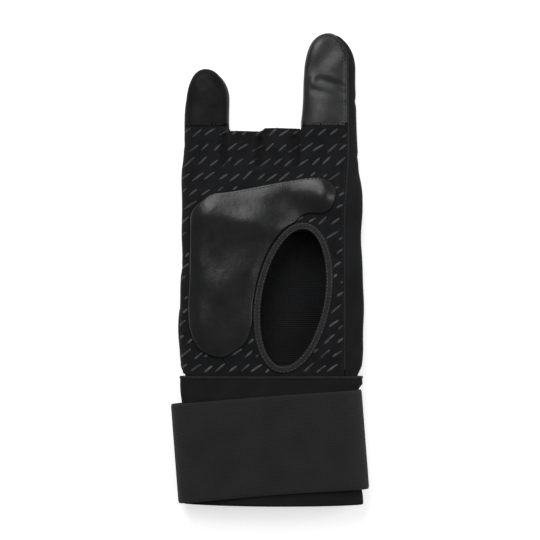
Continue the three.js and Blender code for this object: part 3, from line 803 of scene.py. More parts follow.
def cuff(p):
    d = CUFF.field(p) - 0.35 * np.clip((p[..., 2] - 12) / 6, 0, 1) * cuff_waves(p)
    v = p[..., 1] - WRIST
    body = smooth_max(d, -(d + CUFF_WALL), 1.0)
    bow = CUFF_BOW * ((p[..., 0] - CUFF_BOW_MIDDLE) / HALF_CUFF) ** 2
    return smooth_max(body, np.maximum(v, bow - CUFF_LENGTH - v), 1.2)


# Meshing a field: one vertex in each crossed cell, then two steps onto the field's zero

CORNERS = list(itertools.product((0, 1), repeat=3))


def crossed_cells(inside):
    x, y, z = np.array(inside.shape) - 1
    total = np.sum([inside[i:i + x, j:j + y, k:k + z] for i, j, k in CORNERS], axis=0, dtype=np.int8)
    return (total > 0) & (total < 8)


def cell_vertices(field, cells, low, step):
    """The mean of the points where a crossed cell's edges meet the surface."""
    values = {o: field[cells[0] + o[0], cells[1] + o[1], cells[2] + o[2]] for o in CORNERS}
    total = np.zeros((len(cells[0]), 3))
    count = np.zeros(len(cells[0]))
    for start, axis in itertools.product(CORNERS, range(3)):
        if start[axis]:
            continue
        end = tuple(1 if a == axis else start[a] for a in range(3))
        f0, f1 = values[start], values[end]
        cross = (f0 < 0) != (f1 < 0)
        t = np.where(cross, f0 / np.where(cross, f0 - f1, 1), 0)
        for a in range(3):
            total[:, a] += cross * (start[a] + (t if a == axis else 0))
        count += cross
    return low + step * (np.stack(cells, axis=1) + total / count[:, None])


def cell_quads(inside, index):
    quads = []
    for axis in range(3):
        others = [a for a in range(3) if a != axis]
        lower = [slice(None)] * 3
        upper = [slice(None)] * 3
        lower[axis], upper[axis] = slice(0, -1), slice(1, None)
        for a in others:
            lower[a] = upper[a] = slice(1, -1)
        first, second = inside[tuple(lower)], inside[tuple(upper)]
        where = np.argwhere(first != second)
        flips = first[first != second]
        where[:, others] += 1
        around = []
        for da, db in ((0, 0), (1, 0), (1, 1), (0, 1)):
            cell = where.copy()
            cell[:, others] -= (da, db)
            around.append(index[cell[:, 0], cell[:, 1], cell[:, 2]])
        quad = np.stack(around, axis=1)
        turn = flips if axis != 1 else ~flips
        quads.append(np.where(turn[:, None], quad, quad[:, ::-1]))
    return np.concatenate(quads)


def onto_surface(field, points, steps=2):
    e = 0.02
    for _ in range(steps):
        value = field(points)
        slope = np.stack([(field(points + e * axis) - value) / e for axis in np.eye(3)], axis=1)
        size = np.maximum((slope ** 2).sum(1), 0.2)
        move = -(value / size)[:, None] * slope
        length = np.linalg.norm(move, axis=1, keepdims=True)
        points = points + move * np.minimum(1, 0.5 / np.maximum(length, 1e-9))
    return points


def mesh_field(name, field, low, high, step, steps=2):
    step = np.array([step, step, step * GRID_FLATNESS])
    low = np.array(low, float) - 2.5 * step
    size = np.ceil((np.array(high, float) + 2.5 * step - low) / step).astype(int) + 1
    axes = [low[a] + step[a] * np.arange(size[a]) for a in range(3)]
    values = np.empty(size)
    for i in range(size[0]):
        x, y, z = np.meshgrid(axes[0][i:i + 1], axes[1], axes[2], indexing="ij")
        values[i] = field(np.stack([x[0], y[0], z[0]], axis=-1))
    inside = values < 0
    cells = np.nonzero(crossed_cells(inside))
    index = np.full(size - 1, -1)
    index[cells] = np.arange(len(cells[0]))
    points = cell_vertices(values, cells, low, step)
    quads = cell_quads(inside, index)
    points = relax(points, quads)
    points = onto_surface(field, points, steps)
    return make_mesh(name, points, quads)


def relax(points, quads):
    total = np.zeros_like(points)
    count = np.zeros(len(points))
    for a in range(4):
        for b in (1, 3):
            np.add.at(total, quads[:, a], points[quads[:, (a + b) % 4]])
            np.add.at(count, quads[:, a], 1)
    return 0.5 * points + 0.5 * total / np.maximum(count, 1)[:, None]


def make_mesh(name, points, faces, smooth=True):
    """A Blender object from points in millimetres and faces that all have as many corners."""
    faces = np.asarray(faces)
    mesh = bpy.data.meshes.new(name)
    mesh.vertices.add(len(points))
    mesh.vertices.foreach_set("co", (np.asarray(points) * MM).astype(np.float32).ravel())
    corners = faces.shape[1]
    mesh.loops.add(faces.size)
    mesh.loops.foreach_set("vertex_index", faces.astype(np.int32).ravel())
    mesh.polygons.add(len(faces))
    mesh.polygons.foreach_set("loop_start", np.arange(0, faces.size, corners, dtype=np.int32))
    mesh.polygons.foreach_set("loop_total", np.full(len(faces), corners, dtype=np.int32))
    mesh.polygons.foreach_set("use_smooth", np.full(len(faces), smooth))
    mesh.update(calc_edges=True)
    mesh.validate()
    obj = bpy.data.objects.new(name, mesh)
    bpy.context.scene.collection.objects.link(obj)
    return obj


def sewn_piece(name, field, step, material, slot, grow=1.5):
    """A piece meshed from its field inside its node's box, in place of that node."""
    low, high = node_box(name)
    obj = mesh_field(name + "_cloth", field, low - grow, high + grow, step)
    dress(obj, material, slot)
    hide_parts(name)
    return obj


def dress(obj, material, slot):
    obj.data.materials.append(material)
    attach(obj, "root")


# Small repeated forms, laid on a skin

def outer_skin(p):
    return hand_fields(p)[0]


def normals_of(field, p, step=0.05):
    value = field(p)
    slope = np.stack([field(p + step * axis) - value for axis in np.eye(3)], axis=1)
    return slope / np.linalg.norm(slope, axis=1, keepdims=True)


def slide(points, axis, way, field, steps, most):
    """Moves points along one axis until they meet a field's skin."""
    for _ in range(steps):
        points[:, axis] += way * 0.85 * np.clip(field(points), -most, most)
    return points


def land(plan, over=True, field=outer_skin):
    """The points where plumb lines through a plan's points meet a skin, from above or from below."""
    way = -1 if over else 1
    p = np.column_stack([plan, np.full(len(plan), 30.0 if over else -6.0)])
    return slide(p, 2, way, field, 36, 4)


def reach_side(y, z, left=True, field=outer_skin):
    """The points where level lines across the glove meet its skin."""
    way = 1 if left else -1
    p = np.column_stack([np.full(len(y), -75.0 * way), y, z])
    return slide(p, 0, way, field, 60, 8)


def unit(v):
    return v / np.maximum(np.linalg.norm(v, axis=-1, keepdims=True), 1e-9)


def even_steps(path, pitch, closed=False):
    path = np.asarray(path, float)
    if closed:
        path = np.vstack([path, path[:1]])
    run = np.concatenate([[0], np.cumsum(np.linalg.norm(np.diff(path, axis=0), axis=1))])
    count = max(2, round(run[-1] / pitch))
    at = np.linspace(0, run[-1], count, endpoint=False) + (0 if closed else pitch / 2)
    return np.column_stack([np.interp(at, run, path[:, a]) for a in range(path.shape[1])])


def tangents_of(points, closed=False):
    if closed:
        return unit(np.roll(points, -1, 0) - np.roll(points, 1, 0))
    return unit(np.gradient(points, axis=0))


def stitch_row(plan, pitch=2.6, over=True, field=outer_skin, rise=0.0, closed=False):
    """Where the stitches of one row lie, which way they run, and which way is up."""
    points = land(even_steps(plan, pitch, closed), over, field)
    up = normals_of(field, points)
    return points + up * rise, tangents_of(points, closed), up


BAR_STATIONS = [(-1, 0.3), (-0.72, 0.85), (0, 1.0), (0.72, 0.85), (1, 0.3)]
BAR_SIDES = 6


def bar_faces(stations):
    """The faces of one closed bar with six sides."""
    faces = []
    for ring in range(stations - 1):
        for side in range(BAR_SIDES):
            a, b = ring * BAR_SIDES + side, ring * BAR_SIDES + (side + 1) % BAR_SIDES
            faces.append((a, a + BAR_SIDES, b + BAR_SIDES, b))
    end = (stations - 1) * BAR_SIDES
    faces += [(0, 1, 2, 3), (0, 3, 4, 5)]
    return faces + [(end, end + 3, end + 2, end + 1), (end, end + 5, end + 4, end + 3)]


def repeat_faces(one, count, size):
    """One small form's faces, repeated for count copies of size vertices each."""
    return (np.array(one)[None] + (np.arange(count) * size)[:, None, None]).reshape(-1, 4)


def bars(name, rows, length, width, height, material, slot):
    """Short rounded bars, such as stitches, joined as one mesh."""
    points, along, up = (np.concatenate(part) for part in zip(*rows))
    across = unit(np.cross(up, along))
    rings = []
    for at, size in BAR_STATIONS:
        for side in range(BAR_SIDES):
            turn = 2 * math.pi * side / BAR_SIDES
            lift = height * (size * math.sin(turn) - 0.35 * at * at)
            reach = across * size * width / 2 * math.cos(turn)
            rings.append(points + along * at * length / 2 + reach + up * lift)
    verts = np.stack(rings, axis=1).reshape(-1, 3)
    faces = repeat_faces(bar_faces(len(BAR_STATIONS)), len(points), len(rings))
    obj = make_mesh(name, verts, faces)
    dress(obj, material, slot)
    return obj


def set_run(obj, uv):
    """Gives a mesh its UVs in millimetres, one for each vertex."""
    corner = np.empty(len(obj.data.loops), np.int32)
    obj.data.loops.foreach_get("vertex_index", corner)
    obj.data.uv_layers.new(name="run").data.foreach_set("uv", uv[corner].astype(np.float32).ravel())


def sweep(name, path, up, section, material, slot, closed=False, sizes=None):
    """A closed section of (across, up) points carried along a path, with its run as UVs in millimetres."""
    path, section = np.asarray(path, float), np.asarray(section, float)
    along = tangents_of(path, closed)
    across = unit(np.cross(along, up))
    up = np.cross(across, along)
    sizes = np.ones(len(path)) if sizes is None else sizes
    reach = section[None] * sizes[:, None, None]
    verts = path[:, None] + across[:, None] * reach[..., :1] + up[:, None] * reach[..., 1:]
    n, m = len(path), len(section)
    index = np.arange(n * m).reshape(n, m)
    rows = n if closed else n - 1
    a = index[:rows]
    b = np.roll(index, -1, 0)[:rows]
    faces = np.stack([a, np.roll(a, -1, 1), np.roll(b, -1, 1), b], axis=-1).reshape(-1, 4)
    if not closed:
        caps = np.array([(0, i + 2, i + 1, i) for i in range(1, m - 1, 2)])
        faces = np.vstack([faces, caps, (n - 1) * m + caps[:, ::-1]])
    obj = make_mesh(name, verts.reshape(-1, 3), faces)
    run = np.concatenate([[0], np.cumsum(np.linalg.norm(np.diff(path, axis=0), axis=1))])
    girth = np.concatenate([[0], np.cumsum(np.linalg.norm(np.diff(section, axis=0), axis=1))])
    uv = np.stack(np.broadcast_arrays(run[:, None], girth[None]), axis=-1).reshape(-1, 2)
    set_run(obj, uv)
    dress(obj, material, slot)
    return obj


def round_section(width, height, sides=8):
    turns = np.linspace(0, 2 * math.pi, sides, endpoint=False)
    return np.column_stack([width / 2 * np.cos(turns), height / 2 * np.sin(turns)])


# Materials. Each is a small tree over the object's own place in millimetres, or over a ribbon's run.

def node(tree, kind, inputs=(), **settings):
    made = tree.nodes.new("ShaderNode" + kind)
    for key, value in settings.items():
        setattr(made, key, value)
    for socket, value in dict(inputs).items():
        if isinstance(value, bpy.types.NodeSocket):
            tree.links.new(value, made.inputs[socket])
        else:
            made.inputs[socket].default_value = value
    return made


class Finish:
    """One material, with helpers for its colour, roughness and relief."""

    def __init__(self, name, roughness, ribbon=False, **sockets):
        self.material = bpy.data.materials.new(name)
        self.material.use_nodes = True
        self.tree = self.material.node_tree
        self.shader = self.tree.nodes["Principled BSDF"]
        self.shader.inputs["Roughness"].default_value = roughness
        for socket, value in sockets.items():
            self.shader.inputs[socket.replace("_", " ")].default_value = value
        place = node(self.tree, "TexCoord").outputs["UV" if ribbon else "Object"]
        scale = 1.0 if ribbon else 1 / MM
        inputs = {0: place, 1: (scale,) * 3}
        self.place = node(self.tree, "VectorMath", inputs, operation="MULTIPLY").outputs[0]
        parts = node(self.tree, "SeparateXYZ", {0: self.place})
        self.x, self.y, self.z = parts.outputs

    def math(self, operation, a, b=0.0):
        return node(self.tree, "Math", {0: a, 1: b}, operation=operation).outputs[0]

    def wave(self, value, period):
        """A sine from 0 to 1 over a coordinate."""
        turn = self.math("SINE", self.math("MULTIPLY", value, 2 * math.pi / period))
        return self.math("MULTIPLY", self.math("ADD", turn, 1.0), 0.5)

    def share(self, value, low, high):
        """0 below low, 1 above high."""
        made = node(self.tree, "MapRange", {"Value": value, "From Min": low, "From Max": high})
        return made.outputs[0]

    def noise(self, size, detail=3.0, stretch=(1, 1, 1)):
        place = node(self.tree, "VectorMath", {0: self.place, 1: stretch}, operation="MULTIPLY").outputs[0]
        inputs = {"Vector": place, "Scale": 1 / size, "Detail": detail}
        return node(self.tree, "TexNoise", inputs).outputs["Fac"]

    def cells(self, size):
        return node(self.tree, "TexVoronoi", {"Vector": self.place, "Scale": 1 / size}).outputs["Distance"]

    def ramp(self, value, low, high, start=0.35, end=0.65):
        made = node(self.tree, "ValToRGB", {0: value})
        stops = made.color_ramp.elements
        stops[0].position, stops[1].position = start, end
        stops[0].color, stops[1].color = (*low, 1), (*high, 1)
        return made.outputs["Color"]

    def blend(self, share, a, b):
        """From colour a to colour b, each a socket or its red, green and blue."""
        a, b = (c if isinstance(c, bpy.types.NodeSocket) else (*c, 1) for c in (a, b))
        inputs = {"Factor": share, 6: a, 7: b}
        return node(self.tree, "Mix", inputs, data_type="RGBA").outputs[2]

    def color(self, socket):
        self.tree.links.new(socket, self.shader.inputs["Base Color"])
        return self

    def rough(self, value, low, high):
        inputs = {"Value": value, "From Min": 0.3, "From Max": 0.7, "To Min": low, "To Max": high}
        made = node(self.tree, "MapRange", inputs)
        self.tree.links.new(made.outputs[0], self.shader.inputs["Roughness"])
        return self

    def relief(self, *layers):
        """Adds layers of (height from 0 to 1, depth in millimetres)."""
        normal = None
        for height, depth in layers:
            inputs = {"Height": height, "Distance": depth * MM}
            if normal is not None:
                inputs["Normal"] = normal
            normal = node(self.tree, "Bump", inputs).outputs[0]
        self.tree.links.new(normal, self.shader.inputs["Normal"])
        return self


def grey(value, tint=(1, 1, 1)):
    return tuple(value * t for t in tint)


COOL = (0.94, 0.97, 1.06)


def grip_cloth():
    f = Finish("grip_cloth", 0.86, Specular_IOR_Level=0.07, Sheen_Weight=0.02, Sheen_Roughness=0.6)
    twill = f.wave(f.math("ADD", f.x, f.y), 0.75)
    thread = f.wave(f.math("SUBTRACT", f.x, f.y), 0.75)
    weave = f.math("MULTIPLY", twill, thread)
    base = f.ramp(f.noise(9, 4), grey(0.0055, COOL), grey(0.0105, COOL))
    f.color(f.blend(weave, base, grey(0.018, COOL)))
    return f.rough(f.noise(6), 0.75, 0.9).relief((weave, 0.12), (f.noise(0.4, 2), 0.05)).material


def suede():
    f = Finish("suede", 0.92, Specular_IOR_Level=0.08, Sheen_Weight=0.05, Sheen_Roughness=0.5)
    fuzz = f.noise(0.7, 6)
    nap = f.noise(14, 3, (1, 0.6, 1))
    base = f.ramp(nap, grey(0.024), grey(0.034, (0.98, 1.02, 0.98)))
    base = f.blend(f.math("MULTIPLY", fuzz, 0.55), base, grey(0.065))
    # Painted shade: from 2.5 to 8 mm up the suede turns from the back's colour to a darker one, so the
    # sides are painted darker than the back.
    side = f.ramp(nap, grey(0.009), grey(0.014, COOL))
    f.color(f.blend(f.share(f.z, 2.5, 8.0), base, side))
    return f.rough(nap, 0.86, 0.96).relief((fuzz, 0.14), (f.noise(2.2, 3), 0.1)).material


def leather(name, dark, light, smooth, rough, specular):
    f = Finish(name, smooth, Specular_IOR_Level=specular)
    grain = f.cells(0.8)
    folds = f.noise(7, 3, (1, 0.55, 1))
    f.color(f.ramp(f.noise(12, 3), grey(dark, COOL), grey(light, COOL)))
    f.rough(f.noise(5, 4), smooth, rough)
    return f.relief((folds, 0.3), (f.noise(1.6, 4), 0.045), (grain, 0.025)).material


def rib_knit(name, inner_shade_level=None):
    f = Finish(name, 0.88, Specular_IOR_Level=0.1, Sheen_Weight=0.03, Sheen_Roughness=0.6)
    rib = f.wave(f.y, RIB_PITCH)
    loops = f.wave(f.x, 0.8)
    base = f.ramp(rib, grey(0.007), grey(0.022, COOL), 0.1, 0.9)
    # Painted shade: above the given height, on the inner face inside the hand, the knit is coloured darker
    # and plain.
    if inner_shade_level is not None:
        inside = f.math("GREATER_THAN", f.z, inner_shade_level)
        base = f.blend(inside, base, f.ramp(f.noise(6), grey(0.007, COOL), grey(0.009, COOL)))
    f.color(f.blend(f.math("MULTIPLY", loops, 0.3), base, grey(0.024, COOL)))
    return f.rough(f.noise(5), 0.82, 0.94).relief((rib, 0.3), (loops, 0.1), (f.noise(0.4), 0.06)).material


def loop_cloth():
    f = Finish("loop_cloth", 0.9, Specular_IOR_Level=0.08, Sheen_Weight=0.03, Sheen_Roughness=0.55)
    pile = f.noise(0.45, 5)
    knit = f.math("MULTIPLY", f.wave(f.x, 0.95), f.wave(f.y, 0.95))
    base = f.ramp(f.noise(11, 4), grey(0.0055), grey(0.009, COOL))
    f.color(f.blend(f.math("MULTIPLY", pile, 0.45), base, grey(0.026)))
    return f.rough(f.noise(7), 0.84, 0.96).relief((pile, 0.16), (knit, 0.1)).material


def tape(name, dark, light, ribbon):
    f = Finish(name, 0.78, ribbon, Specular_IOR_Level=0.15, Sheen_Weight=0.04, Sheen_Roughness=0.5)
    ribs = f.wave(f.x, 0.85) if ribbon else f.wave(f.math("ADD", f.x, f.y), 0.9)
    threads = f.wave(f.y, 0.6)
    base = f.ramp(f.noise(4, 4), grey(dark), grey(light))
    f.color(f.blend(f.math("MULTIPLY", ribs, 0.35), base, grey(light * 1.6)))
    return f.rough(f.noise(3), 0.7, 0.86).relief((ribs, 0.12), (threads, 0.05)).material


def print_rubber():
    f = Finish("print_rubber", 0.4, Specular_IOR_Level=0.35)
    base = f.ramp(f.noise(7, 4), grey(0.014, COOL), grey(0.085, COOL), 0.4, 0.66)
    worn = f.math("MULTIPLY", f.share(f.y, -10.0, 60.0), 0.75)
    f.color(f.blend(worn, base, grey(0.02, COOL)))
    return f.rough(f.noise(4), 0.4, 0.6).relief((f.noise(0.9, 3), 0.08)).material


def thread(name, dark, light):
    f = Finish(name, 0.7, Specular_IOR_Level=0.2)
    f.color(f.ramp(f.noise(1.2, 3), dark, light))
    return f.rough(f.noise(1.0), 0.6, 0.8).relief((f.wave(f.math("ADD", f.x, f.y), 0.35), 0.05)).material


def elastic():
    f = Finish("elastic", 0.85, True, Specular_IOR_Level=0.12, Sheen_Weight=0.05, Sheen_Roughness=0.6)
    cords = f.wave(f.y, 1.3)
    picks = f.wave(f.x, 0.9)
    weave = f.math("MULTIPLY", cords, picks)
    base = f.ramp(f.noise(16, 4), grey(0.012), grey(0.0165, (1, 1, 1.03)))
    f.color(f.blend(f.math("MULTIPLY", weave, 0.6), base, grey(0.04)))
    f.rough(f.noise(8), 0.8, 0.92)
    return f.relief((cords, 0.12), (picks, 0.12), (f.noise(0.5, 2), 0.05)).material


def hook_cloth():
    f = Finish("hook_cloth", 0.6, Specular_IOR_Level=0.2)
    hooks = f.cells(1.1)
    f.color(f.ramp(hooks, grey(0.03), grey(0.006), 0.1, 0.5))
    return f.rough(f.noise(3), 0.5, 0.7).relief((f.math("SUBTRACT", 1.0, hooks), 0.4)).material


def patch_cloth():
    f = Finish("patch_cloth", 0.8, Specular_IOR_Level=0.12)
    twill = f.wave(f.math("ADD", f.x, f.math("MULTIPLY", f.y, 1.6)), 0.9)
    base = f.ramp(f.noise(8, 3), grey(0.01), grey(0.016, (0.97, 1.02, 1.02)))
    f.color(f.blend(f.math("MULTIPLY", twill, 0.5), base, grey(0.028)))
    return f.rough(f.noise(4), 0.72, 0.86).relief((twill, 0.1), (f.noise(0.4), 0.04)).material


def satin_thread(name, dark, light):
    f = Finish(name, 0.5, Sheen_Weight=0.2, Sheen_Roughness=0.4)
    lines = f.wave(f.math("ADD", f.x, f.math("MULTIPLY", f.y, 0.2)), 0.42)
    f.color(f.blend(lines, dark, light))
    return f.rough(f.noise(1.5), 0.42, 0.6).relief((lines, 0.12)).material


def studio_floor():
    f = Finish("studio_floor", 0.9, Emission_Color=(1, 1, 1, 1), Emission_Strength=0.55)
    f.color(f.ramp(f.noise(60, 3), grey(0.86), grey(0.88)))
    return f.rough(f.noise(30), 0.85, 0.95).relief((f.noise(2.0, 3), 0.02)).material


GRIP, SUEDE, LOOP = grip_cloth(), suede(), loop_cloth()
LEATHER = leather("leather", 0.008, 0.013, 0.34, 0.46, 0.42)
PAD_LEATHER = leather("pad_leather", 0.006, 0.01, 0.26, 0.36, 0.36)
MATT_LEATHER = leather("matt_leather", 0.004, 0.0075, 0.46, 0.6, 0.11)
KNIT, WINDOW_KNIT = rib_knit("rib_knit"), rib_knit("window_knit", INNER_SHADE_LEVEL)
GREY_TAPE = tape("grey_tape", 0.055, 0.085, False)
DARK_TAPE = tape("dark_tape", 0.014, 0.022, True)
SEAM_TAPE = tape("seam_tape", 0.005, 0.008, True)
EDGE_TAPE = tape("edge_tape", 0.013, 0.02, True)
RUBBER, HOOK, PATCH, ELASTIC = print_rubber(), hook_cloth(), patch_cloth(), elastic()
DARK_THREAD = thread("dark_thread", grey(0.014), grey(0.03))
GREY_THREAD = thread("grey_thread", grey(0.05), grey(0.1))
RED_THREAD = satin_thread("red_thread", (0.32, 0.004, 0.01), (0.55, 0.012, 0.025))
WHITE_THREAD = satin_thread("white_thread", (0.55, 0.55, 0.53), (0.8, 0.8, 0.78))


# The sewn pieces

PIECES = [
    ("palm_panel", palm_panel, GRID, GRIP, "grip_fabric"),
    ("back_panel", back_panel, GRID, SUEDE, "suede_fabric"),
    ("index_leather", index_leather, FINE_GRID, LEATHER, "smooth_leather"),
    ("little_leather", little_leather, FINE_GRID, MATT_LEATHER, "smooth_leather"),
    ("little_gusset", gusset, GRID, KNIT, "rib_knit"),
    ("knit_window", knit_window, FINE_GRID, WINDOW_KNIT, "rib_knit"),
    ("palm_pad", palm_pad, FINE_GRID, PAD_LEATHER, "smooth_leather"),
    ("side_wing", side_wing, FINE_GRID, LOOP, "loop_fabric"),
    ("wing_binding", wing_binding, FINE_GRID, GREY_TAPE, "grey_tape"),
    ("cuff", cuff, GRID, LOOP, "loop_fabric"),
    ("cuff_flap", cuff_flap, FINE_GRID, LOOP, "loop_fabric"),
    ("flap_binding", flap_binding, FINE_GRID, GREY_TAPE, "grey_tape"),
    ("flap_tab", flap_tab, FINE_GRID, GREY_TAPE, "grey_tape"),
    ("hook_patch", hook_patch, FINE_GRID, HOOK, "hook_tape"),
]
cloth = {row[0]: sewn_piece(*row) for row in PIECES}


# The thumb hole's binding

def hole_ring(outward, count):
    """A plan curve a little outside the hole's edge."""
    turns = np.linspace(0, 2 * math.pi, count, endpoint=False)
    along, across = (HOLE_LONG + outward) * np.cos(turns), (HOLE_SHORT + outward) * np.sin(turns)
    s, c = math.sin(HOLE_TURN), math.cos(HOLE_TURN)
    cx, cy = HOLE_CENTRE
    return np.column_stack([cx + along * s + across * c, cy + along * c - across * s])


BINDING_SECTION = [
    (2.2, 0.02), (2.17, 0.7), (1.8, 0.98), (0.5, 1.1), (-1.1, 1.06), (-1.85, 0.82), (-2.2, 0.2),
    (-2.28, -0.9), (-2.2, -1.9), (-1.8, -2.55), (-0.8, -2.8), (1.3, -2.8), (1.35, -2.2),
    (-0.5, -2.15), (-0.9, -1.9), (-0.95, -0.1), (-0.7, 0.1), (0.5, 0.15),
]
ring = land(hole_ring(HOLE_TAPE_WIDTH / 2, 220))
ring_up = normals_of(outer_skin, ring)
binding = sweep("thumb_hole_tape", ring, ring_up, BINDING_SECTION, DARK_TAPE, "dark_tape", closed=True)
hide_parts("thumb_hole_binding")


def binding_row(outward, lift):
    points = land(even_steps(hole_ring(HOLE_TAPE_WIDTH / 2, 220), 2.3, closed=True))
    up = normals_of(outer_skin, points)
    along = tangents_of(points, closed=True)
    return points + unit(np.cross(along, up)) * outward + up * lift, along, up


binding_rows = [binding_row(-1.25, 1.05), binding_row(1.5, 1.0)]
bars("binding_stitches", binding_rows, 1.7, 0.5, 0.2, GREY_THREAD, "dark_tape")


# Stitch rows of the palm side

SEAM_LINE = np.array([(seam_x(v), WRIST + v) for v in np.linspace(3, INDEX_END - 5, 160)])


def beside(line, offset):
    """A plan line moved sideways."""
    along = tangents_of(line)
    return line + np.column_stack([along[:, 1], -along[:, 0]]) * offset


def leather_lower_edge(left, right, height):
    y = WRIST + LEATHER_LINE - LEATHER_LAP + height
    return [(left, y), (right, y)]


piping_path = land(even_steps(SEAM_LINE, 1.5))
piping_up = normals_of(outer_skin, piping_path)
piping_path = piping_path - piping_up * 0.25
sweep("thumb_seam_piping", piping_path, piping_up, round_section(1.3, 1.1), EDGE_TAPE, "dark_tape")

side_y = np.arange(WRIST + 3, WRIST + PALM_LENGTH + 44, 1.5)
side_path = reach_side(side_y, np.interp(side_y - WRIST, SEAM_ALONG, SEAM_LEVEL) + GAP / 2)
side_up = normals_of(outer_skin, side_path)
side_path = side_path - side_up * 0.2
sweep("little_seam_piping", side_path, side_up, round_section(1.0, 1.0), EDGE_TAPE, "dark_tape")

leather_part = SEAM_LINE[SEAM_LINE[:, 1] > WRIST + LEATHER_LINE]
cloth_part = SEAM_LINE[SEAM_LINE[:, 1] < WRIST + LEATHER_LINE - 4]
little_centre = FINGER_LOFTS["little"].place[0]
bars("leather_stitches", [
    stitch_row(beside(leather_part, -1.5), 2.2, rise=LEATHER_RISE),
    stitch_row(beside(leather_part, -3.0), 2.2, rise=LEATHER_RISE),
    stitch_row(leather_lower_edge(INDEX_CENTRE - 14, INDEX_SEAM - 2, 1.5), 2.2, rise=LEATHER_RISE),
], 1.6, 0.45, 0.18, GREY_THREAD, "smooth_leather")
bars("palm_seam_stitches", [
    stitch_row(beside(cloth_part, -1.5), 2.6),
    stitch_row(leather_lower_edge(little_centre - 11, little_centre + 11, 1.5), 2.2, rise=LEATHER_RISE),
], 1.9, 0.5, 0.2, DARK_THREAD, "grip_fabric")


def pad_rise(plan):
    """How far the pad's top stands over the cloth at a plan point."""
    edge = PAD_OUTLINE.distance(plan[:, 0], plan[:, 1])
    return GAP + PAD_WALL * pad_fullness(edge)


def pad_row(inset, pitch):
    curve = PAD_OUTLINE.curve
    along = tangents_of(curve, closed=True)
    inward = np.column_stack([-along[:, 1], along[:, 0]])
    if PAD_OUTLINE.distance(*(curve + inward).T).mean() > 0:
        inward = -inward
    plan = even_steps(curve + inward * inset, pitch, closed=True)
    points = land(plan)
    up = normals_of(outer_skin, points)
    keep = thumb_hole(points) > HOLE_TAPE_WIDTH + 1.2
    rows = points + up * pad_rise(plan)[:, None], tangents_of(points, closed=True), up
    return tuple(part[keep] for part in rows)


bars("pad_stitches", [pad_row(1.7, 2.4)], 1.7, 0.45, 0.16, DARK_THREAD, "smooth_leather")


# The printed grip dashes

DASH_ACROSS, DASH_ALONG, DASH_SHIFT = 8.0, 9.4, 2.6
DASH_LENGTH, DASH_WIDTH, DASH_HEIGHT = 7.8, 1.7, 0.36
DASH_PROBES = 15
DASH_TURN = math.radians(38)
DASH_STATIONS = [0.4, 0.85, 1.0, 1.0, 1.0, 0.85, 0.4]
DASH_SECTION = [(-1, -0.5), (-0.8, 0.7), (-0.3, 1), (0.3, 1), (0.8, 0.7), (1, -0.5)]
dash_random = np.random.default_rng(3)


def dash_room(points):
    """Above zero where the print shows: on the palm cloth, clear of seams, pad and binding."""
    room = -palm_region(points) - 0.9
    room = np.minimum(room, PAD_OUTLINE.distance(points[:, 0], points[:, 1]) - 0.2)
    room = np.minimum(room, thumb_hole(points) - HOLE_TAPE_WIDTH - 0.2)
    room = np.minimum(room, WRIST + LEATHER_LINE - LEATHER_LAP - 0.4 - points[:, 1])
    room = np.minimum(room, points[:, 1] - WRIST - 0.8)
    return np.where(np.abs(outer_skin(points)) < 0.15, room, -1)


def dash_spans():
    """Both ends of each dash, where it isn't hidden or cut short."""
    plans = []
    for row in range(-1, int(LEATHER_LINE / DASH_ALONG) + 2):
        for column in range(-9, 9):
            x = column * DASH_ACROSS + (row * DASH_SHIFT) % DASH_ACROSS + dash_random.uniform(-0.9, 0.9)
            y = WRIST + row * DASH_ALONG + 5 + dash_random.uniform(-0.9, 0.9)
            turn = DASH_TURN + dash_random.uniform(-0.14, 0.14)
            t = np.linspace(-0.5, 0.5, DASH_PROBES) * DASH_LENGTH * dash_random.uniform(0.8, 1.3)
            plans.append(np.column_stack([x + t * math.cos(turn), y + t * math.sin(turn)]))
    free = dash_room(land(np.concatenate(plans))) > 0
    spans = []
    for plan, shown in zip(plans, free.reshape(-1, DASH_PROBES)):
        ids = np.flatnonzero(shown)
        runs = np.split(ids, np.flatnonzero(np.diff(ids) > 1) + 1)
        run = max(runs, key=len)
        if len(run) >= 5:
            spans.append((plan[run[0]], plan[run[-1]]))
    return spans


def grip_dashes():
    starts, ends = (np.array(side) for side in zip(*dash_spans()))
    stations = len(DASH_STATIONS)
    share = np.linspace(0, 1, stations)
    plan = (starts[:, None] + (ends - starts)[:, None] * share[None, :, None]).reshape(-1, 2)
    points = land(plan)
    up = normals_of(outer_skin, points)
    along = np.repeat(unit(np.column_stack([ends - starts, np.zeros(len(starts))])), stations, axis=0)
    across = unit(np.cross(up, along))
    size = np.tile(DASH_STATIONS, len(starts))[:, None, None]
    section = np.array(DASH_SECTION)
    verts = points[:, None] + across[:, None] * section[None, :, :1] * size * DASH_WIDTH / 2
    verts = verts + up[:, None] * section[None, :, 1:] * DASH_HEIGHT
    faces = repeat_faces(bar_faces(stations), len(starts), stations * BAR_SIDES)
    dress(make_mesh("grip_dashes", verts.reshape(-1, 3), faces), RUBBER, "grip_fabric")


grip_dashes()


# Cuff rim, flap stitches and strap

def ring_points(loft, v, count):
    """A ring of a loft's section, and its outward normals."""
    turns = np.linspace(0, 2 * math.pi, count, endpoint=False)
    cx, cz, a, b = (np.interp(v, loft.along, c) for c in loft.columns)
    power = np.where(np.sin(turns) < 0, FLAT_POWER, CROWN_POWER)
    x = cx + a * np.sign(np.cos(turns)) * np.abs(np.cos(turns)) ** (2 / power)
    z = cz + b * np.sign(np.sin(turns)) * np.abs(np.sin(turns)) ** (2 / power)
    return np.column_stack([x, np.full(count, WRIST + v), z])


rim = even_steps(ring_points(CUFF, -0.8, 400), 1.5, closed=True)
rim_up = normals_of(CUFF.field, rim)
RIM_SECTION = [(0.75, -0.3), (0.75, 0.25), (0.3, 0.5), (-0.3, 0.5), (-0.75, 0.25), (-0.75, -0.3)]
sweep("cuff_rim", rim, rim_up, RIM_SECTION, EDGE_TAPE, "loop_fabric", closed=True)

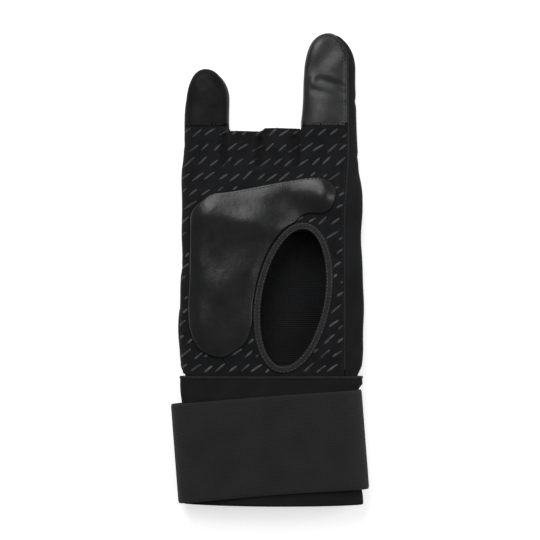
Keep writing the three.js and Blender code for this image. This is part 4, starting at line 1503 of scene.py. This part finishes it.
STRAP_WIDTH = 63.5
STRAP_TILT = math.radians(4.4)
STRAP_CENTRE = WRIST - 13.25 - STRAP_WIDTH / 2
STRAP_WALL = 1.4
STRAP_FOLD = 20.0
STRAP_TOP = 25.4
LAP_HEIGHT = STRAP_WALL + GAP
STRAP_EASE = 0.6
STRAP_TURN_ROOM = math.tan(STRAP_TILT) * STRAP_WIDTH / 2
STRAP_INNER = HALF_CUFF * 0.945 + STRAP_TURN_ROOM + FLAP_WALL + TAPE_RISE + STRAP_EASE
STRAP_END = STRAP_INNER - 12.5
STRAP_START = STRAP_END - 38.0


def half_turn(x, low, high, start, count=48):
    turns = start + np.linspace(-math.pi / 2, math.pi / 2, count)
    reach = STRAP_FOLD + STRAP_WALL / 2
    return [(x + reach * math.cos(t), (low + high) / 2 + (high - low) / 2 * math.sin(t)) for t in turns]


def strap_route():
    """The middle of the webbing's thickness, seen along the arm, from its inner to its free end."""
    flat = STRAP_INNER - STRAP_FOLD
    half = STRAP_WALL / 2
    inner, top, outer = LAP_HEIGHT + half, STRAP_TOP - half, half
    route = [(x, inner) for x in np.linspace(STRAP_START, flat, 24, endpoint=False)]
    route += half_turn(flat, inner, top, 0)
    route += [(x, top) for x in np.linspace(flat, -flat, 60)[1:-1]]
    route += half_turn(-flat, outer, top, math.pi)
    route += [(x, outer) for x in np.linspace(-flat, STRAP_END, 60)[1:]]
    return even_steps(route, 1.2)


def wrist_strap():
    route = strap_route()
    n = len(route)
    along = tangents_of(route)
    out = np.column_stack([-along[:, 1], along[:, 0]])
    share = np.linspace(-1, 1, 41)
    edge = np.sqrt(np.clip(1 - np.clip((np.abs(share) - 0.965) / 0.035, 0, 1) ** 2, 0.12, 1))
    run = np.arange(n) * 1.2
    top = np.clip((route[:, 1] - 18) / 5, 0, 1)
    sag = 0.3 * np.sin(run / 17)[:, None] * np.cos(share * 2.2 + 0.5)[None]
    sag = -np.abs(sag + 0.16 * np.sin(run / 7 + 1)[:, None] * share) * top[:, None]
    bow = (1.1 * np.cos(np.clip(route[:, 0] / 62, -1, 1) * math.pi / 2) * top)[:, None]
    verts = []
    for side in (1, -1):
        lift = side * (STRAP_WALL / 2) * edge[None] + sag
        x = route[:, :1] - out[:, :1] * lift
        z = route[:, 1:] - out[:, 1:] * lift
        y = np.broadcast_to(share[None] * STRAP_WIDTH / 2 + bow * np.where(share < 0, 1, 0.4), x.shape)
        verts.append(np.stack([x, y, z], axis=-1))
    verts = np.stack(verts).reshape(-1, 3)
    c, s = math.cos(STRAP_TILT), math.sin(STRAP_TILT)
    x, y = verts[:, 0].copy(), verts[:, 1].copy()
    verts[:, 0], verts[:, 1] = c * x - s * y, s * x + c * y + STRAP_CENTRE
    m = len(share)
    index = np.arange(2 * n * m).reshape(2, n, m)
    faces = []
    for side in (0, 1):
        a = index[side]
        quad = np.stack([a[:-1, :-1], a[1:, :-1], a[1:, 1:], a[:-1, 1:]], axis=-1).reshape(-1, 4)
        faces.append(quad if side else quad[:, ::-1])
    for column, flip in ((0, False), (-1, True)):
        a, b = index[0, :, column], index[1, :, column]
        quad = np.stack([a[:-1], a[1:], b[1:], b[:-1]], axis=-1)
        faces.append(quad[:, ::-1] if flip else quad)
    for row, flip in ((0, True), (-1, False)):
        a, b = index[0, row], index[1, row]
        quad = np.stack([a[:-1], a[1:], b[1:], b[:-1]], axis=-1)
        faces.append(quad[:, ::-1] if flip else quad)
    obj = make_mesh("wrist_webbing", verts, np.concatenate(faces))
    uv = np.stack(np.broadcast_arrays(run[None, :, None], (share * STRAP_WIDTH / 2)[None, None]), axis=-1)
    uv = np.broadcast_to(uv, (2, n, m, 2)).reshape(-1, 2)
    set_run(obj, uv)
    dress(obj, ELASTIC, "elastic_webbing")
    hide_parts("wrist_strap")
    return obj


webbing = wrist_strap()


# The back: patch, vents and stitch rows. The patch lies on the table, so it is built upwards from there

def plate(name, outline, levels, material, slot, parent_node=None):
    """A thin plate on a convex outline, by levels of (height, inset) from its outer to its inner face."""
    outline = np.asarray(outline, float)
    centre = outline.mean(0)
    rings = []
    for height, inset in levels:
        reach = outline - centre
        size = np.linalg.norm(reach, axis=1, keepdims=True)
        ring = centre + reach * (1 - inset / size)
        rings.append(np.column_stack([ring, np.full(len(ring), height)]))
    m = len(outline)
    middle = [np.append(centre, levels[0][0]), np.append(centre, levels[-1][0])]
    verts = np.vstack(rings + [middle])
    faces = []
    for r in range(len(levels) - 1):
        for k in range(m):
            a, b = r * m + k, r * m + (k + 1) % m
            faces += [(a, b, b + m), (a, b + m, a + m)]
    low, high, last = len(rings) * m, len(rings) * m + 1, (len(levels) - 1) * m
    for k in range(m):
        faces += [(low, (k + 1) % m, k), (high, last + k, last + (k + 1) % m)]
    faces = np.array(faces)
    if not turns_left(outline):
        faces = faces[:, ::-1]
    obj = make_mesh(name, verts, faces, smooth=False)
    dress(obj, material, slot)
    if parent_node:
        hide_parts(parent_node)
    return obj


def turns_left(outline):
    x, y = outline.T
    return bool((x * np.roll(y, -1) - np.roll(x, -1) * y).sum() > 0)


def round_rectangle(low, high, radius, steps=6):
    corners = [(high[0], high[1], 0), (low[0], high[1], 1), (low[0], low[1], 2), (high[0], low[1], 3)]
    points = []
    for x, y, quarter in corners:
        cx, cy = x + (radius if x == low[0] else -radius), y + (radius if y == low[1] else -radius)
        for t in np.linspace(0, math.pi / 2, steps) + quarter * math.pi / 2:
            points.append((cx + radius * math.cos(t), cy + radius * math.sin(t)))
    return np.array(points)


PATCH_LOW_CORNER = np.array([PATCH_LEFT, WRIST + PATCH_LOW])
PATCH_HIGH_CORNER = np.array([PATCH_RIGHT, WRIST + PATCH_LOW + PATCH_LENGTH])
PATCH_FACE = 0.3
PATCH_INNER = 0.8
PATCH_LEVELS = [(PATCH_FACE, 0.3), (PATCH_FACE + 0.15, 0.0), (PATCH_INNER, 0.0)]
patch_outline = round_rectangle(PATCH_LOW_CORNER, PATCH_HIGH_CORNER, 2.0)
plate("patch_cloth", patch_outline, PATCH_LEVELS, PATCH, "patch_fabric", "back_patch")


def flat_row(line, pitch, height):
    points = even_steps(line, pitch)
    along = np.column_stack([tangents_of(points), np.zeros(len(points))])
    up = np.tile([0.0, 0.0, -1.0], (len(points), 1))
    return np.column_stack([points, np.full(len(points), height)]), along, up


def frame_line(inset):
    frame = round_rectangle(PATCH_LOW_CORNER + inset, PATCH_HIGH_CORNER - inset, 1.2)
    return np.vstack([frame, frame[:1]])


patch_rows = [flat_row(frame_line(1.5), 2.4, PATCH_FACE)]
bars("patch_stitches", patch_rows, 1.8, 0.5, 0.18, DARK_THREAD, "patch_fabric")


def diamond(cx, cy, wide, tall):
    """A diamond's corners, from its half width and half height."""
    return np.array([(cx + wide, cy), (cx, cy + tall), (cx - wide, cy), (cx, cy - tall)])


DIAMONDS = 5
DIAMOND_PITCH = 13.2
DIAMOND_WIDE, DIAMOND_TALL = 5.6, 8.6
SMALL_DIAMOND = 0.72
DIAMOND_LAYERS = [("edge", 1.0, WHITE_THREAD, 0.15), ("red", 0.0, RED_THREAD, 0.05)]
LINE_HALF = (31.0, 0.45)
LINES = [(-13.6, WHITE_THREAD), (-15.6, RED_THREAD)]
THREAD_SEAT = PATCH_FACE + 0.02


def patch_design():
    """A row of red diamonds edged in white, beside two thin lines."""
    middle = (PATCH_LOW_CORNER + PATCH_HIGH_CORNER) / 2
    for i in range(DIAMONDS):
        x = middle[0] + (i - (DIAMONDS - 1) / 2) * DIAMOND_PITCH
        size = 1.0 if i % 2 == 0 else SMALL_DIAMOND
        for name, grow, material, face in DIAMOND_LAYERS:
            wide, tall = DIAMOND_WIDE * size + grow, DIAMOND_TALL * size + 1.5 * grow
            shape = diamond(x, middle[1] + 1.5, wide, tall)
            levels = [(face, 0.3), (face + 0.08, 0), (THREAD_SEAT, 0)]
            plate(f"patch_{name}_{i}", shape, levels, material, "patch_fabric")
    for i, (height, material) in enumerate(LINES):
        place = middle + (0, height)
        shape = round_rectangle(place - LINE_HALF, place + LINE_HALF, 0.4, 3)
        levels = [(0.12, 0.2), (0.2, 0), (THREAD_SEAT, 0)]
        plate(f"patch_line_{i}", shape, levels, material, "patch_fabric")


patch_design()


def vent_rims():
    """A small stitched rim round each vent hole, all joined as one mesh."""
    places = np.array(VENTS)
    centres = land(places, over=False)
    keep = np.abs(outer_skin(centres)) < 0.1
    centres = centres[keep]
    up = normals_of(outer_skin, centres)
    side = unit(np.cross(up, np.tile([0.0, 1.0, 0.0], (len(centres), 1))))
    other = np.cross(up, side)
    big, small = 12, 6
    turns = np.linspace(0, 2 * math.pi, big, endpoint=False)
    rolls = np.linspace(0, 2 * math.pi, small, endpoint=False)
    rings = []
    for t in turns:
        way = side * math.cos(t) + other * math.sin(t)
        for r in rolls:
            outward = way * (VENT_RADIUS + 0.3 + 0.3 * math.cos(r))
            rings.append(centres + outward + up * (0.05 + 0.22 * math.sin(r)))
    verts = np.stack(rings, axis=1).reshape(-1, 3)
    one = []
    for a in range(big):
        here, there = a * small, (a + 1) % big * small
        for b in range(small):
            after = (b + 1) % small
            one.append((there + b, there + after, here + after, here + b))
    faces = repeat_faces(one, len(centres), big * small)
    dress(make_mesh("vent_rims", verts, faces), DARK_THREAD, "suede_fabric")


vent_rims()


def inner_skin(p):
    return hand_fields(p)[1] + WALL


def window_seam_tape():
    """The tape over the seam round the knit inset, inside the hand."""
    plan = even_steps(round_rectangle(WINDOW_LOW, WINDOW_HIGH, 11.5), 1.5, closed=True)
    points = slide(np.column_stack([plan, np.full(len(plan), HALFWAY)]), 2, 1, inner_skin, 40, 4)
    up = np.tile([0.0, 0.0, 1.0], (len(points), 1))
    section = round_section(4.4, 0.7)
    sweep("window_seam_tape", points + up * 0.3, up, section, SEAM_TAPE, "dark_tape", closed=True)


window_seam_tape()

window_frame = round_rectangle(np.array(WINDOW_LOW) - 1.3, np.array(WINDOW_HIGH) + 1.3, 12.5)
gusset_line = [(GUSSET_SEAM + 1.4, WRIST + v) for v in np.arange(4, PALM_LENGTH + 40, 2.0)]
back_rows = [stitch_row(np.vstack([window_frame, window_frame[:1]]), 2.4, over=False),
             stitch_row(gusset_line, 2.4, over=False)]
bars("back_stitches", back_rows, 1.8, 0.5, 0.2, DARK_THREAD, "suede_fabric")


def on_cuff(plan, rise, pitch=2.4):
    points, along, up = stitch_row(plan, pitch, over=False, field=CUFF.field)
    return points + up * rise, along, up


def flap_frame(inset):
    left, right = FLAP_LEFT + 1.0, FLAP_LEFT + FLAP_REACH - inset
    low, high = WRIST - CUFF_LENGTH + FLAP_SETBACK + inset, WRIST - FLAP_SETBACK - inset
    frame = round_rectangle((left - 30, low), (right, high), FLAP_CORNER - inset)
    frame = frame[frame[:, 0] > left]
    split = np.argmax(frame[:, 1] < (low + high) / 2)
    return np.vstack([[(left, high)], frame[:split][::-1], frame[split:][::-1], [(left, low)]])


flap_rise = GAP + FLAP_WALL + TAPE_RISE
flap_rows = [on_cuff(flap_frame(EDGE_TAPE_WIDTH - 0.9), flap_rise)]
tab_rows = [on_cuff([(x, TAB_LOW + 1), (x, TAB_LOW + 13)], flap_rise + GAP + 1.0, 1.6)
            for x in np.arange(FLAP_LEFT + 1.6, FLAP_LEFT + 10, 2.0)]
bars("flap_stitches", flap_rows, 1.7, 0.45, 0.16, DARK_THREAD, "grey_tape")
bars("tab_stitches", tab_rows, 1.3, 0.5, 0.22, GREY_THREAD, "grey_tape")


# What each soft piece was cut to: flat size in millimetres, area in square centimetres where the
# cut isn't a rectangle, how it is held, and what it lies on or is sewn to. Tapes under 10 mm wide
# are trim and aren't listed.

SHEETS = {
    "palm_panel_cloth": ((118, 176), 163, "stretched", ["back_panel_cloth"]),
    "back_panel_cloth": ((128, 232), 178, "stretched", ["palm_panel_cloth"]),
    "index_leather_cloth": ((45, 59), 23, "stretched", ["back_panel_cloth"]),
    "little_leather_cloth": ((30, 37), 11, "stretched", ["little_gusset_cloth"]),
    "little_gusset_cloth": ((21, 206), 33, "stretched", ["back_panel_cloth"]),
    "knit_window_cloth": ((73, 81), None, "stretched", ["back_panel_cloth"]),
    "side_wing_cloth": ((14.5, 44.5), None, "laid", ["little_gusset_cloth"]),
    "cuff_flap_cloth": ((87, 74), None, "laid", ["cuff_cloth"]),
    "hook_patch_cloth": ((17.8, 52), None, "laid", ["cuff_cloth"]),
    "flap_tab_cloth": ((11, 14), None, "laid", ["cuff_cloth"]),
    "patch_cloth": ((76.6, 48), None, "laid", ["knit_window_cloth"]),
    "wrist_webbing": ((63.5, 303), None, "stretched", ["cuff_cloth"]),
    "thumb_hole_tape": ((10, 236), None, "folded", ["palm_panel_cloth"]),
}
for name, (flat, area, held, under) in SHEETS.items():
    flat = tuple(side * MM for side in flat)
    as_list(under)


# Floor, light and camera

FLOOR_SIDE = 6.0
FLOOR_LEVEL = -0.0003
bpy.ops.mesh.primitive_plane_add(size=FLOOR_SIDE, location=(0, 0, FLOOR_LEVEL))
floor = bpy.context.object
floor.name = "floor"
floor.data.materials.append(studio_floor())

world = bpy.data.worlds.new("studio")
world.use_nodes = True
world.node_tree.nodes["Background"].inputs["Color"].default_value = (1, 1, 1, 1)
world.node_tree.nodes["Background"].inputs["Strength"].default_value = 0.25
bpy.context.scene.world = world


def softbox(name, place, aim, size, energy):
    light = bpy.data.lights.new(name, "AREA")
    light.energy = energy
    light.shape = "RECTANGLE"
    light.size, light.size_y = size
    obj = bpy.data.objects.new(name, light)
    obj.location = place
    way = np.array(aim, float) - np.array(place, float)
    yaw = math.atan2(way[0], -way[1])
    pitch = math.atan2(math.hypot(way[0], way[1]), -way[2])
    obj.rotation_euler = (pitch, 0, yaw + math.pi)
    bpy.context.scene.collection.objects.link(obj)


softbox("key", (-0.25, 0.95, 0.9), (0, 0.02, 0), (0.9, 0.45), 8)
softbox("gloss", (-0.34, 0.56, 1.2), (0, 0.03, 0), (0.6, 0.4), 3.4)
softbox("fill", (0.85, 0.1, 0.9), (0, 0, 0), (0.5, 0.9), 4.5)

VIEW_HEIGHT = 1.8
VIEW_LEVEL = 12.0
MM_PER_PIXEL = 0.64
PHOTO_PIXELS = 540
SENSOR = 36.0
camera_data = bpy.data.cameras.new("camera")
camera_data.sensor_width = SENSOR
camera_data.lens = SENSOR * (VIEW_HEIGHT - VIEW_LEVEL * MM) / (PHOTO_PIXELS * MM_PER_PIXEL * MM)
camera = bpy.data.objects.new("camera", camera_data)
camera.location = (0, 0, VIEW_HEIGHT)
bpy.context.scene.collection.objects.link(camera)
bpy.context.scene.camera = camera
bpy.context.scene.view_settings.view_transform = "Standard"
